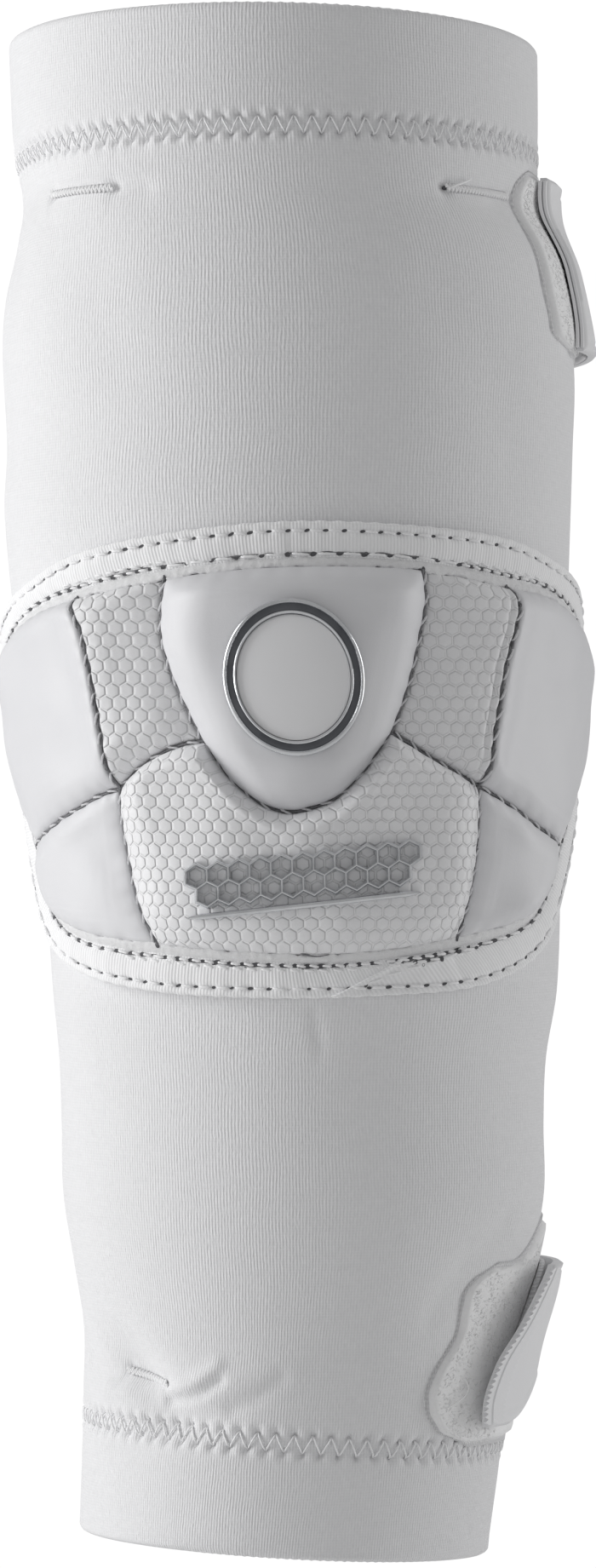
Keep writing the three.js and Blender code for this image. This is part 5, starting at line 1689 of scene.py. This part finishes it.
def strap_end_stitches(side):
    """The box of stitches that holds the strap's end to the sleeve."""
    height = STRAPS[side][0]
    back, front = strap_anchor - box_in, strap_anchor - box_in - box_long
    corners = [(back, -box_half), (back, box_half), (front, box_half), (front, -box_half), (back, -box_half)]
    spots = []
    for (t0, h0), (t1, h1) in zip(corners[:-1], corners[1:]):
        length = math.hypot(math.radians(t1 - t0) * mean_radius, h1 - h0)
        count = int(round(length / box_pitch))
        for i in range(count):
            a, b = (i + 0.1) / count, (i + 0.9) / count
            spots.append(((t0 + (t1 - t0) * a, h0 + (h1 - h0) * a), (t0 + (t1 - t0) * b, h0 + (h1 - h0) * b)))
    ends = np.array(spots)
    share = np.linspace(0, 1, 7)
    line = ends[:, None, 0] * (1 - share[:, None]) + ends[:, None, 1] * share[:, None]
    out = strap_level(line[..., 0]) + strap_thick - 0.35 + 0.5 * swelling(share)
    lines, ups = over_sleeve(np.radians(line[..., 0]), height + line[..., 1], out)
    return make_piece(side + "_strap_end_stitches", tube_bodies(lines, ups, 0.24, sides=7, twist=5.0),
                      white_thread, (side + "_strap",))


def tab_places(side, share, along, forward=0.0):
    """Turns and heights on a tab, at shares across and along it."""
    height, _, tabs, _, lower_rise = STRAPS[side]
    first = read_table(tabs, 1, share) - forward
    turn = first + (tab_back - first) * along
    return turn, height + strap_width * share + (rising(turn, lower_rise) + TAB_RISE[side]) * (0.5 - share)


def tab_level(side, turn, high, behind):
    """The tab's underside: stiff over the sleeve's dents, and lifted at its front."""
    front = TAB_LIFT[side] * bell(behind, 7.0)
    top = TAB_TOP[side] * bell(high - STRAPS[side][0] - 12.0, 14.0)
    return tab_low + 0.3 * dent_at(np.radians(turn), high) + front + top


def make_tab(side):
    """The moulded tab: a rounded edge and a step inside it."""
    share = (close_to_edges(64, 1.5) - 0.5)[:, None]
    along = close_to_edges(80, 1.5)[None]
    turn, high = tab_places(side, share, along)
    long_way = (tab_back - turn[:, :1]) * math.radians(1) * mean_radius
    rim = np.minimum(np.minimum(along, 1 - along) * long_way, (0.5 - np.abs(share)) * strap_width)
    roll = 0.9
    edge = np.where(rim < roll, np.sqrt(np.clip(roll ** 2 - (roll - rim) ** 2, 0, None)) - roll, 0.0)
    step = -0.4 * np.clip((rim - 1.7) / 0.25, 0, 1) + 0.25 * np.clip((rim - 3.0) / 0.3, 0, 1)
    low = tab_level(side, turn, high, along * long_way)
    body = sleeve_sheet(turn, high, low + tab_thick + edge + step, low)
    return make_piece(side + "_tab", body, rubber, (side + "_strap_tab",), crisp=50)


def make_tab_edge(side):
    """The tab's thin front lip: pinked on the lower tab, in layers on the upper one."""
    share = np.linspace(-0.48, 0.48, 260)[:, None]
    along = np.linspace(0, 0.12, 6)[None]
    bodies = []
    layers = [(1.6, tab_thick - 0.95)] if side == "lower" else [(1.6, 0.0), (0.8, 0.9)]
    for forward, low in layers:
        teeth = 0.5 + 0.5 * np.cos(2 * math.pi * share * strap_width / 1.3)
        reach = forward - (1.1 * teeth if side == "lower" else 0.1 * drift(share * 38, 0 * share, 5.0, 57))
        turn, high = tab_places(side, share, along, reach)
        low = low + tab_level(side, turn, high, 0.0)
        bodies.append(sleeve_sheet(turn, high, low + 0.65, low))
    return make_piece(side + "_tab_lip", merged(bodies), rubber, (side + "_strap_tab",),
                      crisp=50)


for side in STRAPS:
    make_loop_patch(side)
    make_loop_base(side)
    make_pile(side, pile_fibres)
    make_strap(side)
    strap_end_stitches(side)
    make_tab(side)
    make_tab_edge(side)


# Floor, light and camera

def make_floor():
    """A pale floor well below the pad."""
    mesh = bpy.data.meshes.new("studio_floor")
    half, low = 2.0, -0.36
    front, back = -half - 0.3, 1.7
    mesh.from_pydata([(-half, front, low), (half, front, low), (half, back, low), (-half, back, low)],
                     [], [(0, 1, 2, 3)])
    finish, tree, shader = new_finish("pale studio floor", Roughness=0.9)
    where = add(tree, "ShaderNodeTexCoord")
    cloud = add(tree, "ShaderNodeTexNoise", links={"Vector": where.outputs["Object"], "Scale": 3.0})
    tone = add(tree, "ShaderNodeMix", {"data_type": "RGBA"},
               {0: cloud.outputs[0], 6: linear("#efefef"), 7: linear("#f4f4f4")})
    tree.links.new(tone.outputs[2], shader.inputs["Base Color"])
    mesh.materials.append(finish)
    floor = bpy.data.objects.new("studio_floor", mesh)
    bpy.context.scene.collection.objects.link(floor)


def add_light(name, place, aim, size, power):
    """A soft box that faces a point."""
    data = bpy.data.lights.new(name, "AREA")
    data.shape = "RECTANGLE"
    data.size, data.size_y = size
    data.energy = power
    lamp = bpy.data.objects.new(name, data)
    lamp.location = place
    lamp.rotation_euler = (Vector(aim) - Vector(place)).to_track_quat("-Z", "Y").to_euler()
    bpy.context.scene.collection.objects.link(lamp)


def light_world():
    """A white surround that shines on the pad with less than it shows."""
    world = bpy.data.worlds.new("studio")
    bpy.context.scene.world = world
    world.use_nodes = True
    tree = world.node_tree
    tree.nodes.clear()
    path = add(tree, "ShaderNodeLightPath")
    fill = add(tree, "ShaderNodeBackground", links={"Color": (1, 1, 1, 1), "Strength": 0.36})
    seen = add(tree, "ShaderNodeBackground", links={"Color": (1, 1, 1, 1), "Strength": 1.03})
    mix = add(tree, "ShaderNodeMixShader", links={
        0: path.outputs["Is Camera Ray"], 1: fill.outputs[0], 2: seen.outputs[0]})
    add(tree, "ShaderNodeOutputWorld", links={"Surface": mix.outputs[0]})


make_floor()
light_world()
add_light("key_left", (-1.5, -0.2, 0.25), (0, 0, 0), (0.9, 1.3), 17.5)
add_light("rim_right", (1.5, 0.25, 0.1), (0, 0, 0), (0.7, 1.2), 6.5)
bpy.context.scene.view_settings.view_transform = "Standard"

camera_data = bpy.data.cameras.new("camera")
camera_data.sensor_width = 36.0
camera_distance, camera_height = 2.0, -0.003854
# The photo's height in pixels, and how many millimetres each is at the arm's axis.
photo_tall, pixel = 1841, 0.188
camera_data.lens = camera_data.sensor_width * camera_distance / (photo_tall * pixel * MM)
camera_data.clip_start, camera_data.clip_end = 0.05, 20.0
camera = bpy.data.objects.new("camera", camera_data)
camera.location = (0.0, -camera_distance, camera_height)
camera.rotation_euler = (math.pi / 2, 0.0, 0.0)
bpy.context.scene.collection.objects.link(camera)
bpy.context.scene.camera = camera

bpy.context.view_layer.update()
